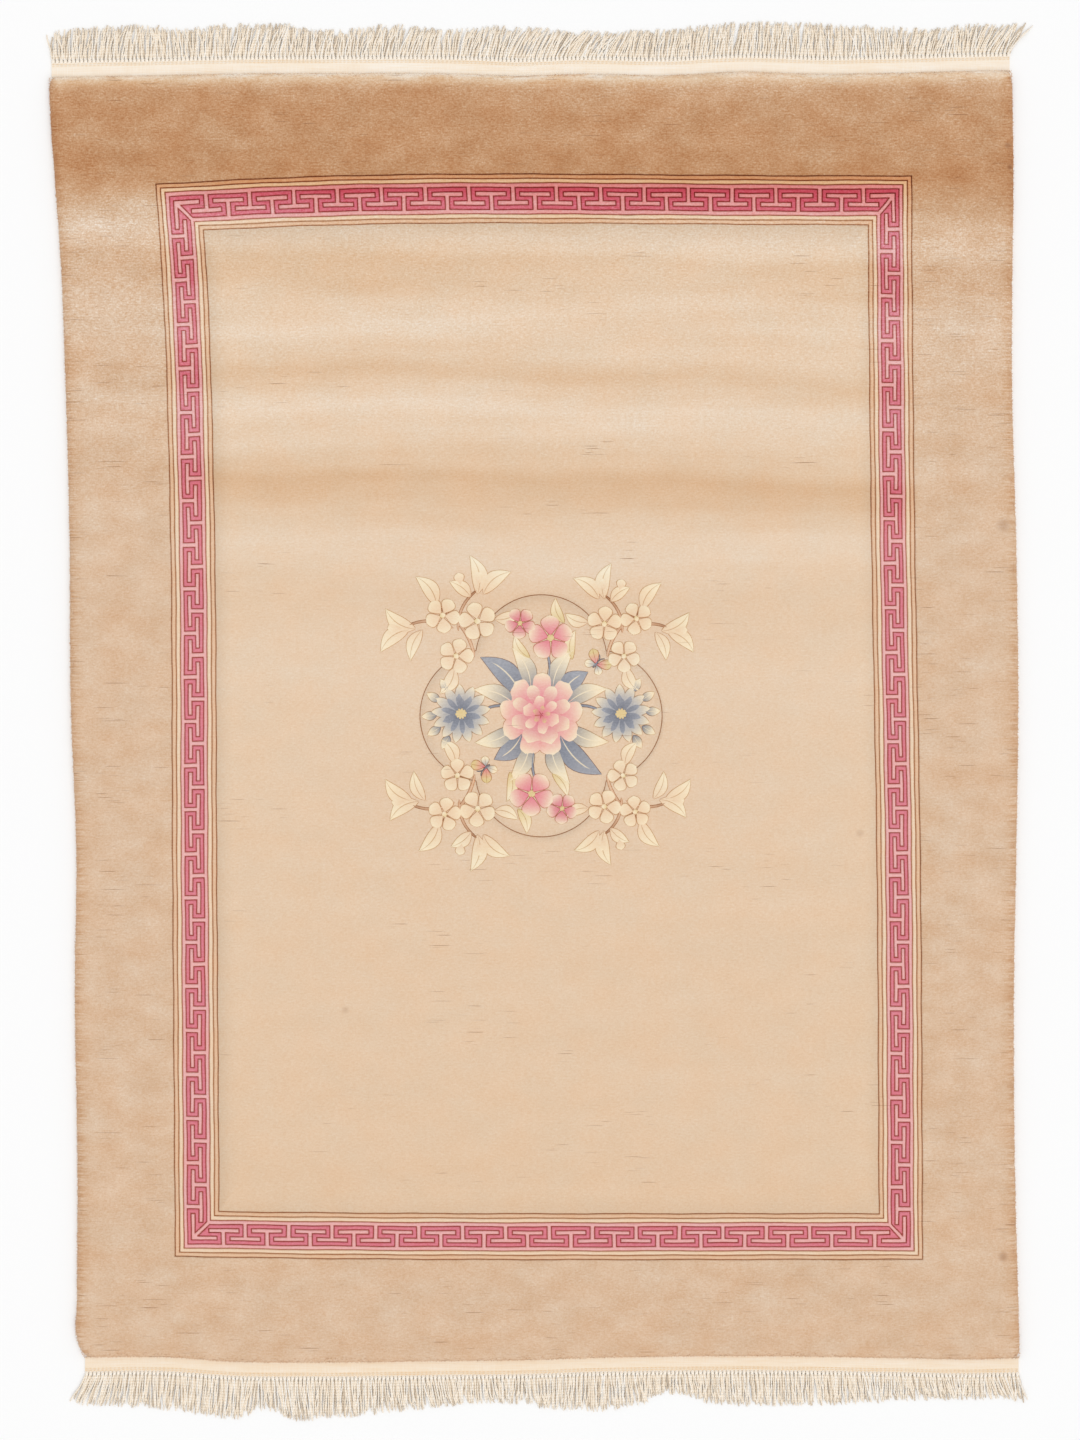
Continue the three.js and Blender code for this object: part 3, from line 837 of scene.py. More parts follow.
def border_dye(u, v, dyes):
    """The dye of each place in the border, by its units. The depth is counted in from the
    nearest side and along is the other way. Rose is the ribbon between the outer Ts and the
    inner Ts; each T has a stem one unit wide and a head seven wide."""
    ends = np.stack([v, UNITS_ACROSS - u, UNITS_DOWN - v, u])
    depth = ends.min(0)
    upright = np.isin(ends.argmin(0), (1, 3))
    along = np.where(upright, np.minimum(v, UNITS_DOWN - v), np.minimum(u, UNITS_ACROSS - u))
    length = np.where(upright, UNITS_DOWN, UNITS_ACROSS)
    walk = np.where(upright, v, u)
    outer = np.abs((walk + REPEAT / 2) % REPEAT - REPEAT / 2)
    inner = np.abs(walk % REPEAT - REPEAT / 2)
    corner = along < 8.75
    outer = np.where(walk < REPEAT - 4, REPEAT, outer)
    outer = np.where(length - walk < REPEAT - 4, REPEAT, outer)
    inner = np.where(corner, REPEAT, inner)
    row = np.floor(depth)
    light = (row == 0) | (row == FRET_ROWS - 1)
    light |= (depth > 1) & (depth < 4) & (outer < 0.5)
    light |= (row == 4) & (outer < 3.5)
    light |= (row == 2) & (inner < 3.5)
    light |= (depth > 3) & (depth < 6) & (inner < 0.5)
    light |= corner & (row == 2) & (along < 8.5)
    light |= corner & (depth > 2) & (depth < 6) & (along - depth < 0.7)
    pick = np.where(light, 1, 0)
    pick = np.where((depth < 0) | (depth > FRET_ROWS), 2, pick)
    pick = np.where((depth < -1) | (depth > FRET_ROWS + 1), 3, pick)
    table = np.array([tuple(dyes.rose), tuple(dyes.pink), tuple(dyes.cream), tuple(dyes.tan)])
    return table[pick]


def plan_lines(boundaries, scale, low, high, half, fine=None):
    """Sorted plan lines between two units: both ends, the edges and floor of a carved line at
    each boundary, and an even fine spacing where it is asked for."""
    ends = np.interp((low, high), *scale)
    middles = np.interp([b for b in boundaries if low <= b <= high], *scale)
    offsets = np.array((-1, -0.26, 0.26, 1)) * half
    lines = np.concatenate([ends, (middles[:, None] + offsets).ravel()])
    if fine:
        lines = np.concatenate([lines, np.arange(*ends, fine)])
    lines = np.sort(lines[(lines >= ends[0]) & (lines <= ends[1])])
    return lines[np.concatenate([[True], np.diff(lines) > 0.12])]


def fret_patch(p, q, lines, sizes, dyes):
    """A grid of the border's surface: it sinks at the carved lines, by their distance."""
    half = sizes.groove_width / 2 / MM
    p, q = np.meshgrid(p, q, indexing="ij")
    gap = distance_to(lines, p, q)
    carved = np.clip((half - gap) / (half * 0.74), 0, 1)
    x, y = on_rug(p, q)
    z = sizes.pile_top - sizes.groove_depth * carved + lie(x, y)
    u, v = np.interp(p, ACROSS[1], ACROSS[0]), np.interp(q, DOWN[1], DOWN[0])
    body = border_dye(u, v, dyes)
    shadow = 0.45 * body * body + 0.55 * np.array(dyes.line)[None, None] * (0.35 + 0.65 * body)
    colour = body + (shadow - body) * (carved[..., None] > 0.5)
    points, faces = slab(x, y, z, sizes.foundation)
    edge = np.concatenate([colour[:, 0], colour[:, -1]])
    return points, faces, np.vstack([colour.reshape(-1, 3), edge])


def build_fret(side, lines, sizes, dyes):
    """One side of the fret border, with both of its corners on the head and foot sides."""
    half = sizes.groove_width / 2 / MM
    rows = list(range(-GUARDS, CORNER_END + 1))
    upright = side in ("left", "right")
    scale, count, cross = (DOWN, UNITS_DOWN, ACROSS) if upright else (ACROSS, UNITS_ACROSS, DOWN)
    far = {"right": UNITS_ACROSS, "foot": UNITS_DOWN}.get(side)
    depths = rows if far is None else [far - r for r in rows]
    ends = (min(depths), max(depths))
    steps = [k * REPEAT + s for k in range(count // REPEAT + 1)
             for s in (0.5, 1.5, 3.5, 4.5, 5.5, 6.5, 8.5, 9.5)]
    along = plan_lines(steps, scale, CORNER_END, count - CORNER_END, half)
    across = plan_lines(depths, cross, *ends, half)
    pieces = [fret_patch(*((across, along) if upright else (along, across)), lines, sizes, dyes)]
    if not upright:
        for first, last in ((-GUARDS, CORNER_END),
                            (UNITS_ACROSS - CORNER_END, UNITS_ACROSS + GUARDS)):
            marks = [u for u in np.arange(first, last + 0.1, 0.5)
                     if u % 1 == 0 or min(u, UNITS_ACROSS - u) in (6.5, 8.5)]
            p = plan_lines(marks, ACROSS, first, last, half, fine=1.3)
            q_marks = depths + [d for d in (6.5, 8.5, UNITS_DOWN - 6.5, UNITS_DOWN - 8.5)
                                if ends[0] < d < ends[1]]
            q = plan_lines(q_marks, DOWN, *ends, half, fine=1.3)
            pieces.append(fret_patch(p, q, lines, sizes, dyes))
    points, faces = joined([piece[:2] for piece in pieces])
    return make_piece(f"fret_{side}", points, faces, np.vstack([piece[2] for piece in pieces]))


def medallion_place():
    """The middle of the medallion, in metres of the part's frame."""
    return 2 * MM + SHIFT_X, 8 * MM + SHIFT_Y


def lobed_radius(angle, sizes):
    """Radius of the medallion line at an angle: the far crossing of the ray with the circle of
    the nearest lobe."""
    turn = (angle + math.pi / 4) % (math.pi / 2) - math.pi / 4
    side = sizes.lobe_centre * np.sin(turn)
    return sizes.lobe_centre * np.cos(turn) + np.sqrt(sizes.lobe_radius ** 2 - side ** 2)


def build_field(sizes, dyes):
    """The plain field as rings round the medallion's middle: out to the carved medallion line,
    across it, and on to the innermost carved line of the border, with a flat underside."""
    edge_x, edge_y = line_loop(CORNER_END, FIELD_STEPS)
    normal = loop_normals(edge_x, edge_y)
    middle_x, middle_y = medallion_place()
    angle = np.arctan2(edge_y - middle_y, edge_x - middle_x)
    radius = lobed_radius(angle, sizes)
    away = np.hypot(edge_x - middle_x, edge_y - middle_y)
    half, count = sizes.groove_width / 2, len(angle)
    rings = []

    # Rings in a carved line take the line dye: a painted shade of the groove
    def ring(x, y, drop=0.0):
        level = np.full(count, sizes.pile_top - drop * sizes.groove_depth)
        rings.append((x, y, level, np.tile(np.array(dyes.line if drop else dyes.field),
                                           (count, 1))))

    def round_ring(reach, drop=0.0):
        ring(middle_x + np.cos(angle) * reach, middle_y + np.sin(angle) * reach, drop)

    for share in (0.02, 0.3, 0.6, 0.85):
        round_ring(radius * share)
    for out, drop in MEDALLION_LINE:
        round_ring(radius + half * out, drop)
    for share in np.linspace(0.04, 1, FIELD_RINGS, endpoint=False) ** 1.2:
        round_ring(radius + (away - 0.006 - radius) * share)
    for out, drop in FIELD_LINE:
        ring(edge_x + normal[:, 0] * half * out, edge_y + normal[:, 1] * half * out, drop)
    x, y, z, colour = (np.array(column) for column in zip(*rings))
    low = np.stack([edge_x, edge_y, np.full(count, sizes.foundation)], -1)
    points = np.vstack([np.stack([x, y, z + lie(x, y)], -1).reshape(-1, 3), low])
    rows = len(rings) + 1
    faces = grid_faces(rows, count, wrap_columns=True) + caps(rows, count)
    return make_piece("field_pile", points, faces, np.vstack([*colour, colour[-1]]))


def build_foundation(sizes, dyes):
    """The knotted back: a closed sheet of the pile's outline, its two faces joined by a wall."""
    x, y = rim_loop(FOUNDATION_STEPS)
    normal = loop_normals(x, y)
    x, y = x - normal[:, 0] * 0.0012, y - normal[:, 1] * 0.0012
    count = len(x)
    levels = [0.0, sizes.foundation - 0.0003]
    points = np.vstack([np.stack([x, y, np.full(count, z)], -1) for z in levels])
    faces = grid_faces(2, count, wrap_columns=True) + caps(2, count)
    return make_piece("foundation", points, faces, np.tile(np.array(dyes.border), (2 * count, 1)))


def build_tufts(sizes, dyes):
    """Loose tuft ends round the rim: each a closed three-sided spike that starts in the pile
    and leans out of it."""
    draw = np.random.default_rng(SEED)
    rim_x, rim_y = rim_loop(TUFTS)
    normal = loop_normals(rim_x, rim_y)
    count = len(rim_x)
    drop = draw.uniform(1.5, 12.0, count)
    inset = np.interp(drop, RIM_PROFILE[:, 1], RIM_PROFILE[:, 0])
    out = draw.uniform(1.2, 3.0, count)
    slip = draw.normal(0, 0.9, count)
    rise = draw.uniform(-1.0, 1.2, count)
    along = np.stack([-normal[:, 1], normal[:, 0]], -1)
    base = np.stack([rim_x, rim_y], -1) - normal * ((inset + 0.5) * MM)[:, None]
    tip = base + normal * ((0.5 + out) * MM)[:, None] + along * (slip * MM)[:, None]
    level = sizes.pile_top - drop * MM
    wide = TUFT_WIDTH * MM
    points = np.empty((count, 4, 3))
    points[:, 0] = np.column_stack([base + along * wide, level - 0.4 * MM])
    points[:, 1] = np.column_stack([base - along * wide, level - 0.4 * MM])
    points[:, 2] = np.column_stack([base, level + wide])
    points[:, 3] = np.column_stack([tip, np.maximum(level + rise * MM, TUFT_LOW * MM)])
    corner = 4 * np.arange(count)[:, None, None]
    faces = (np.array([(0, 1, 2), (0, 3, 1), (1, 3, 2), (2, 3, 0)])[None] + corner)
    colour = np.tile(np.array(dyes.border), (4 * count, 1))
    # Painted highlight on the tufts that face the head, through the rim attribute
    light = np.repeat(np.clip(normal[:, 1], 0, 1), 4)
    return make_piece("rim_tufts", points.reshape(-1, 3), faces.reshape(-1, 3).tolist(), colour,
                      {"rim": light, "side": np.zeros(4 * count)})


# Motifs of the medallion

# The two powers that give a part's outline
SHAPES = {"leaf": (0.85, 0.85), "round": (1.7, 0.62), "narrow": (1.15, 0.6), "stem": (1.0, 0.12),
          "disc": (1.0, 0.5)}


def motif(base, tip, width, shape, layer, dye_base, dye_tip, bend=0.0, crown=0.7, rib=0):
    """One petal, leaf or stem, in millimetres from the medallion's middle, as a flat row: base,
    tip, half width, bend, the outline's powers, layer, crown, rib, and the dyes of both ends. A
    rib is none, a carved one painted in groove shade, or a pale one."""
    return (*base, *tip, width, bend, *SHAPES[shape], layer, crown, rib, *dye_base, *dye_tip)


def turned(place, angle, centre=(0, 0)):
    """A place given along and across from a centre, after a turn by an angle in degrees."""
    c, s = math.cos(math.radians(angle)), math.sin(math.radians(angle))
    return (centre[0] + place[0] * c - place[1] * s, centre[1] + place[0] * s + place[1] * c)


def ring_of(centre, count, inner, outer, width, shape, layer, dyes, turn=0.0, crown=0.7, rib=0):
    """Petals at even angles round a centre."""
    rows = []
    for k in range(count):
        angle = turn + 360 * k / count
        rows.append(motif(turned((inner, 0), angle, centre), turned((outer, 0), angle, centre),
                          width, shape, layer, *dyes, crown=crown, rib=rib))
    return rows


def disc(centre, radius, turn, layer, dyes, crown):
    """The round heart of a small flower."""
    return motif(turned((-radius, 0), turn, centre), turned((radius, 0), turn, centre), radius,
                 "disc", layer, *dyes, crown=crown)


def peony(centre, size, turn, outer, middle, heart, boss):
    """A full flower: three rings of petals and a round heart."""
    return [
        *ring_of(centre, 9, 0.25 * size, size, 0.30 * size, "round", 2, outer, turn),
        *ring_of(centre, 8, 0.12 * size, 0.74 * size, 0.25 * size, "round", 3, middle, turn + 12),
        *ring_of(centre, 6, 0.03 * size, 0.46 * size, 0.19 * size, "round", 4, heart, turn + 30),
        *ring_of(centre, 5, 0.0, 0.22 * size, 0.09 * size, "round", 5, boss, turn),
    ]


def blossom(centre, size, turn, dyes, heart, layer=3):
    """A small flower of five round petals and a disc."""
    return [
        *ring_of(centre, 5, 0.08 * size, size, 0.42 * size, "round", layer, dyes, turn),
        disc(centre, 0.17 * size, turn, layer + 1, heart, 0.5),
    ]


def daisy(centre, size, turn, dyes, back, heart):
    """A flower of two rings of narrow petals and a disc."""
    return [
        *ring_of(centre, 13, 0.2 * size, size, 0.18 * size, "narrow", 2, back, turn),
        *ring_of(centre, 10, 0.12 * size, 0.68 * size, 0.16 * size, "narrow", 3, dyes, turn + 14),
        disc(centre, 0.2 * size, turn, 4, heart, 0.6),
    ]


def butterfly(centre, size, turn, wing, tail, body):
    """Two upper and two lower wings, a body and two feelers."""
    rows = []
    for side in (1, -1):
        for reach, spread, width, dyes in ((1.0, 38, 0.33, wing), (0.72, -32, 0.27, tail)):
            rows.append(motif(turned((0.05 * size, 0), turn, centre),
                              turned((reach * size, 0), turn + 90 - side * (90 - spread), centre),
                              width * size, "round", 2, *dyes, rib=1))
        feeler = turned((side * 0.22 * size, 0.62 * size), turn, centre)
        rows.append(motif(turned((0, 0.25 * size), turn, centre), feeler, 1.0, "stem", 1, *body,
                          bend=0.12 * side))
    rows.append(motif(turned((0, -0.3 * size), turn, centre),
                      turned((0, 0.32 * size), turn, centre), 0.09 * size, "leaf", 3, *body))
    return rows


def bouquet(d):
    """The middle of the medallion: a peony, daisies in two lobes, pairs of blossoms in the other
    two, slate leaves and stems between them, and two butterflies."""
    leaf, stem = (d["deep_blue"], d["blossom"]), (d["deep_blue"], d["blue"])
    pink, gold = (d["petal"], d["blossom"]), (d["gold"], d["gold"])
    rose, pale = (d["rose"], d["blossom"]), (d["blue"], d["blossom"])
    rows = []
    for side, half_turn in ((1, 0), (-1, 180)):
        rows += [
            motif((side * 40, 8), (side * 118, 6), 3.0, "stem", 0, *stem, bend=0.16 * side),
            motif((0, side * 40), (side * 8, side * 128), 3.0, "stem", 0, *stem, bend=-0.14),
            *daisy((side * 152, 4), 56, 10, stem, pale, gold),
            *blossom((side * 18, side * 148), 43, 20 * side, pink, gold),
            *blossom((side * -40, side * 176), 30, 50, rose, gold),
        ]
        for angle, reach, width, dyes in ((22, 136, 17, leaf), (43, 122, 20, stem),
                                          (64, 140, 17, leaf), (113, 140, 17, leaf),
                                          (136, 160, 22, stem), (159, 138, 17, leaf)):
            turn = angle + half_turn
            rows.append(motif(turned((50, 0), turn), turned((reach, 0), turn), width, "leaf", 1,
                              *dyes, bend=0.12 if angle < 90 else -0.12, rib=2))
        for angle, start, reach in ((101, 112, 162), (61, 122, 176), (76, 182, 226)):
            turn = angle + half_turn
            rows.append(motif(turned((start, 0), turn), turned((reach, 0), turn + 7), 11, "leaf",
                              1, d["gold"], d["blossom"], bend=0.15, rib=1))
        for angle in (-58, -30, 32, 60, 4):
            turn, centre = angle + half_turn, (side * 150, 4)
            rows.append(motif(turned((48, 0), turn, centre), turned((78, 0), turn, centre), 9,
                              "leaf", 1, *leaf, rib=2))
        rows += butterfly((side * 104, side * 98), 30, 45 - 85 * side, (d["petal"], d["gold"]),
                          pale, (d["deep_blue"], d["deep_blue"]))
    return rows + peony((0, 2), 80, 8, pink, rose, pink, (d["rose"], d["gold"]))


def spray(d, turn, flip, size):
    """A loose sprig of cream blossoms, buds and leaves on a tan twig that grows outwards from
    a cusp of the medallion line."""
    heart = tuple(0.6 * a + 0.4 * b for a, b in zip(d["tan"], d["blossom"]))
    cream, bark = (heart, d["blossom"]), (d["tan"], d["line"])

    def at(out, over):
        return turned((158 + out * size, over * size * flip), turn)

    rows = [
        motif(at(8, -8), at(96, 6), 3.4, "stem", 0, *bark, bend=0.12 * flip),
        motif(at(52, 2), at(74, 66), 2.8, "stem", 0, *bark, bend=-0.14 * flip),
        motif(at(60, 0), at(112, -52), 2.8, "stem", 0, *bark, bend=0.14 * flip),
    ]
    for out, over, radius, angle in ((28, -26, 26, 10), (42, 32, 28, 40), (84, 2, 26, 70)):
        rows += blossom(at(out, over), radius * size, angle + turn, cream,
                        (d["blossom"], d["gold"]))
    for base, tip, width, bend in (
            ((70, 60), (118, 92), 12, 0.15), ((64, 66), (58, 118), 12, -0.15),
            ((74, 50), (112, 44), 10, 0.1), ((98, -40), (150, -50), 12, -0.15),
            ((104, -48), (110, -100), 12, 0.15), ((90, -34), (70, -78), 10, 0.12),
            ((100, 6), (152, 14), 12, 0.14), ((18, -40), (6, -82), 11, -0.14),
            ((26, 52), (10, 88), 10, 0.14)):
        rows.append(motif(at(*base), at(*tip), width * size, "leaf", 1, *cream,
                          bend=bend * flip, rib=1))
    for base, tip in (((112, -52), (128, -68)), ((78, 68), (90, 86)), ((96, 52), (112, 62))):
        rows.append(motif(at(*base), at(*tip), 8 * size, "round", 2, *cream))
    return rows


# Lines across a motif part, from its middle to its rim, and how high it stands at each
ACROSS_SHARES = np.array((0.0, 0.10, 0.5, 0.8))
ALONG_STEPS = 13


# Heights above the pile, in millimetres: of the body's lines, from the middle out, over the
# crown; of the carved rim's two lines; and of the part's lower edge
CROWN_SHARES = (1.0, 0.97, 0.8, 0.45, 0.12)
CARVED_RIM = 1.3
RIM_DROPS = (0.0, -0.1)
LOWER_EDGE = -1.2
RIB_DROP = 0.45

# Sprays round the medallion: direction in degrees, hand, size
SPRAYS = ((45, 1, 1.2), (135, -1, 1.3), (225, 1, 1.24), (315, -1, 1.16))


def build_motifs(name, rows, sizes, dyes):
    """All parts of a design as closed pillows in one mesh. A part's middle line is a bent line
    from base to tip; its half width is the sine of half a turn of the share along it, raised to
    a power; a carved rim, painted dark as the groove's shade, runs round its raised, crowned body."""
    data = np.array(rows)
    base, tip = data[:, 0:2] * MM, data[:, 2:4] * MM
    width, bend, early, full, layer, crown, rib = data[:, 4:11].T
    dye_base, dye_tip = data[:, 11:14], data[:, 14:17]
    width = width * MM
    s = np.linspace(0.0, 1.0, ALONG_STEPS)
    s = 0.5 - 0.5 * np.cos(np.pi * s) * 0.55 - 0.45 * (0.5 - s)
    s = (s - s[0]) / (s[-1] - s[0])
    run = tip - base
    length = np.linalg.norm(run, axis=1)
    across = np.stack([-run[:, 1], run[:, 0]], -1) / length[:, None]
    arc = 4 * s * (1 - s)
    middle = base[:, None] + run[:, None] * s[:, None]
    middle = middle + across[:, None] * (bend * length)[:, None, None] * arc[:, None]
    half = np.sin(np.pi * s[None] ** early[:, None]).clip(0) ** full[:, None] * width[:, None]
    half = np.maximum(half, 0.00035)
    rim = CARVED_RIM * MM
    body = np.maximum(half - rim, half * 0.3)[..., None]
    outer = half[..., None]
    one = np.concatenate([body * ACROSS_SHARES, body, body + rim * 0.45, outer + rim * 0.1,
                          outer + rim * 0.35], -1)
    offset = np.concatenate([-one[..., :0:-1], one], -1)
    place = middle[:, :, None] + across[:, None, None] * offset[..., None]
    columns = offset.shape[-1]
    step = np.abs(np.arange(columns) - columns // 2)
    lift = 0.15 + 0.22 * layer
    heights = [lift + 0.25 + crown * share for share in CROWN_SHARES]
    heights += [lift + drop for drop in RIM_DROPS] + [np.full(len(data), LOWER_EDGE)]
    level = np.stack(heights, -1)[:, None, step]
    ribbed = (rib[:, None, None] > 0) & (step[None, None] == 0)
    level = np.where(ribbed, level - RIB_DROP, level)
    tone = np.where(rib[:, None] > 0, np.clip(1.3 * s, 0, 1) ** 1.1, s ** 1.8)[..., None]
    colour = dye_base[:, None, None] + (dye_tip - dye_base)[:, None, None] * tone[..., None]
    colour = np.broadcast_to(colour, (*offset.shape, 3)).copy()
    vein = (rib[:, None, None] == 2) & (step[None, None] == 0) & (s[None, :, None] < 0.8)
    colour = np.where(vein[..., None], np.array(dyes.blossom), colour)
    # Painted shade of the carving: the carved rim and a carved rib take a dark mix with the line dye
    dark = (step >= len(CROWN_SHARES))[None, None]
    dark = dark | ((rib[:, None, None] == 1) & (step[None, None] == 0))
    carved = 0.55 * colour * colour + 0.45 * np.array(dyes.line)
    colour = np.where(dark[..., None], carved, colour)
    mx, my = medallion_place()
    x, y = place[..., 0] + mx, place[..., 1] + my
    z = sizes.pile_top + lie(x, y) + level * MM
    points = np.stack([x, y, z], -1)
    count = points[0, ..., 0].size
    one_part = grid_faces(len(s), columns, wrap_columns=True) + caps(len(s), columns, True)
    faces = [[i + count * k for i in face] for k in range(len(data)) for face in one_part]
    return make_piece(name, points.reshape(-1, 3), faces, colour.reshape(-1, 3))


# End bands and fringes


def band_edge(x_mm, end):
    """Where the pile ends, in metres, at places across the rug, on the head or foot side."""
    return smooth(END_TABLE, x_mm, 1 if end == "head" else 2) * MM + SHIFT_Y


END_SPAN = {"head": (-930, 895), "foot": (-866, 912)}
OUTWARD = {"head": 1, "foot": -1}

# The woven band across, from the pile out: share of the width, and height of the rib
BAND_PROFILE = np.array([
    (-0.02, 0), (0.0, 0.5), (0.12, 0.12), (0.24, 0.35), (0.36, 0.1), (0.48, 0.3), (0.6, 0.1),
    (0.7, 0.3), (0.76, 0.0), (0.82, 0.9), (0.88, 0.0), (0.95, 0.5), (1.0, 0.1), (1.02, 0),
])
TWINED_ROWS = (9, 11)
# Rows of the valleys beside the twined row, where a dotted painted shade darkens the weave
SHADED_VALLEY_ROWS = (8, 10)
BAND_STEP = 1.3
BEAD = 3.9

# Yarns: rings and sides of a tube, their spacing at the knot, and how far a tip strays
YARN_RINGS = 10
YARN_SIDES = 5
YARN_SPACING = 1.5
STRAY = {"head": 6.5, "foot": 3.8}

# Powers of the yarn colour in the lowest, middle and top layer, and in the knots
LAYER_SHADES = (2.6, 1.1, 0.8)
KNOT_SHADE = 0.8
KNOT_RINGS = 5
KNOT_SIDES = 6
KNOT_RADIUS = 3.6 * MM
KNOT_LENGTH = 8.5 * MM


def build_band(end, sizes):
    """A woven end band as a closed strip. Its top has ribs of packed weft along it and a row of
    twined knots near the fringe; the profile is carried along the end of the pile."""
    outward = OUTWARD[end]
    x = np.arange(*END_SPAN[end], BAND_STEP)
    share, ribs = BAND_PROFILE.T
    twined = np.isin(np.arange(len(share)), TWINED_ROWS)
    edge = band_edge(x, end) + outward * 0.0004
    wander = 0.35 * np.sin(x / 23)[:, None] * np.sin(share * 9)[None]
    y = edge[:, None] + outward * (sizes.band_width * share + wander * MM)
    beads = np.abs(np.sin(np.pi * x / BEAD))[:, None] * twined
    z = sizes.band_thick + (ribs - 0.5 + 0.5 * beads) * MM
    z[:, 0] = z[:, -1] = 0.4 * MM
    across = np.broadcast_to((x * MM + SHIFT_X)[:, None], y.shape)
    points, faces = slab(across, y, z, 0.0)
    # Painted shade: a dotted dark line in the valleys on both sides of the twined row
    valley_shade = np.zeros(z.shape)
    valley_shade[:, SHADED_VALLEY_ROWS] = (0.6 + 0.4 * np.sin(np.pi * x / BEAD))[:, None]
    valley_shade = np.concatenate([valley_shade.ravel(), np.zeros(2 * len(x))])
    return make_piece(f"{end}_band", points, faces, extra={"valley_shade": valley_shade})


def tubes(path, radius, sides, turn):
    """Closed tubes along many paths at once. Each ring is a slightly flattened circle whose two
    plies turn on from ring to ring; the ends are closed by one face each."""
    count, steps, _ = path.shape
    ahead = np.gradient(path, axis=1)
    ahead /= np.linalg.norm(ahead, axis=-1, keepdims=True)
    side = np.cross(ahead, np.array((0, 0, 1.0)))
    side /= np.linalg.norm(side, axis=-1, keepdims=True)
    up = np.cross(side, ahead)
    around = 2 * np.pi * np.arange(sides) / sides
    plies = 1 + 0.16 * np.cos(2 * (around - turn[..., None]))
    reach = radius[..., None] * plies
    ring = (side[:, :, None] * (np.cos(around) * reach)[..., None]
            + up[:, :, None] * (np.sin(around) * reach)[..., None])
    points = path[:, :, None] + ring
    one = grid_faces(steps, sides, wrap_columns=True) + caps(steps, sides, True)
    per = steps * sides
    faces = [[i + per * k for i in face] for k in range(count) for face in one]
    run = np.linalg.norm(np.diff(path, axis=1), axis=-1).cumsum(1)
    run = np.concatenate([np.zeros((count, 1)), run], 1)
    uv = np.stack(np.broadcast_arrays(around / (2 * np.pi), run[..., None]), -1)
    return points.reshape(-1, 3), faces, uv.reshape(-1, 2)


def build_fringe(end, sizes):
    """A fringe: at each root a knot, and plied yarns that leave it, spread, wave a little and
    lie on the floor or over each other. All numbers are drawn once from one seed."""
    draw = np.random.default_rng(SEED + len(end))
    outward = OUTWARD[end]
    table = HEAD_FRINGE if end == "head" else FOOT_FRINGE
    low, high = END_SPAN[end]
    root = np.linspace(low + 3, high - 3, sizes.tassels)
    start_y = band_edge(root, end) + outward * (sizes.band_width + 0.001)
    shape = (sizes.tassels, sizes.yarns)
    lean = draw.normal(0, 2.6, sizes.tassels)
    lean = (lean + np.roll(lean, 1) + np.roll(lean, 2)) / 1.7
    drift = smooth(table, root, 2)[:, None] + lean[:, None] + draw.normal(0, STRAY[end], shape)
    reach = smooth(table, root, 1)[:, None] + draw.uniform(-11, 2.5, shape)
    place = (np.arange(sizes.yarns) - (sizes.yarns - 1) / 2) * YARN_SPACING
    layer = draw.permuted(np.tile(np.arange(sizes.yarns), (sizes.tassels, 1)), axis=1) % 3
    s = np.linspace(0, 1, YARN_RINGS)
    wave = draw.uniform(0, 6.28, (*shape, 1))
    swing = draw.uniform(0.5, 2.4, (*shape, 1))
    shift = place[None, :, None] * np.minimum(0.6 + s * 2, 1) + drift[..., None] * s ** 1.25
    shift = shift + swing * np.sin(wave + s * draw.uniform(4, 9, (*shape, 1))) * s
    x = root[:, None, None] + shift
    y = start_y[:, None, None] + outward * (0.004 + (reach[..., None] - 4) * s * MM)
    r = sizes.yarn / 2
    droop = np.clip(1 - s * 3, 0, 1) ** 2 * 0.0012
    hump = np.sin(np.pi * np.clip(s * 1.15, 0, 1)) ** 0.7
    z = r * 1.18 + droop + layer[..., None] * r * 0.85 * hump
    path = np.stack(np.broadcast_arrays(x * MM + SHIFT_X, y, z), -1).reshape(-1, len(s), 3)
    count = path.shape[0]
    thick = r * draw.uniform(0.85, 1.1, count)[:, None] * np.interp(s, (0, 0.9, 1), (1, 1, 0.62))
    turn = draw.uniform(0, 3.1, count)[:, None] + np.arange(len(s)) * 0.9
    points, faces, uv = tubes(path, thick, YARN_SIDES, turn)
    shade = np.array(LAYER_SHADES)[layer.ravel()] + draw.uniform(-0.3, 0.4, count)
    shade = np.repeat(shade, YARN_RINGS * YARN_SIDES)
    knot_s = np.linspace(0, 1, KNOT_RINGS)
    knot_y = start_y[:, None] + outward * (knot_s * KNOT_LENGTH - 0.0022)
    knot_x = np.broadcast_to((root * MM + SHIFT_X)[:, None], knot_y.shape)
    knot_z = np.full(knot_y.shape, 0.0021)
    knot_path = np.stack([knot_x, knot_y, knot_z], -1)
    knot_r = KNOT_RADIUS * np.sqrt(np.sin(np.pi * (0.06 + 0.88 * knot_s)))
    knot_points, knot_faces, knot_uv = tubes(
        knot_path, np.broadcast_to(knot_r, knot_y.shape), KNOT_SIDES,
        np.broadcast_to(knot_s * 1.2, knot_y.shape))
    knot_points[:, 2] = np.maximum(knot_points[:, 2], 0.0001)
    all_points, all_faces = joined([(points, faces), (knot_points, knot_faces)])
    all_shade = np.concatenate([shade, np.full(len(knot_points), KNOT_SHADE)])
    return make_piece(f"{end}_fringe_yarns", all_points, all_faces, extra={"shade": all_shade},
                      uv=np.vstack([uv, knot_uv]))


# Operators


class RugOperator:
    """Shared parts of the rug's operators."""

    bl_options = {"REGISTER", "UNDO"}

    def work(self, sizes, dyes):
        raise NotImplementedError

    def execute(self, context):
        self.work(context.scene.rug_sizes, context.scene.rug_dyes)
        return {"FINISHED"}


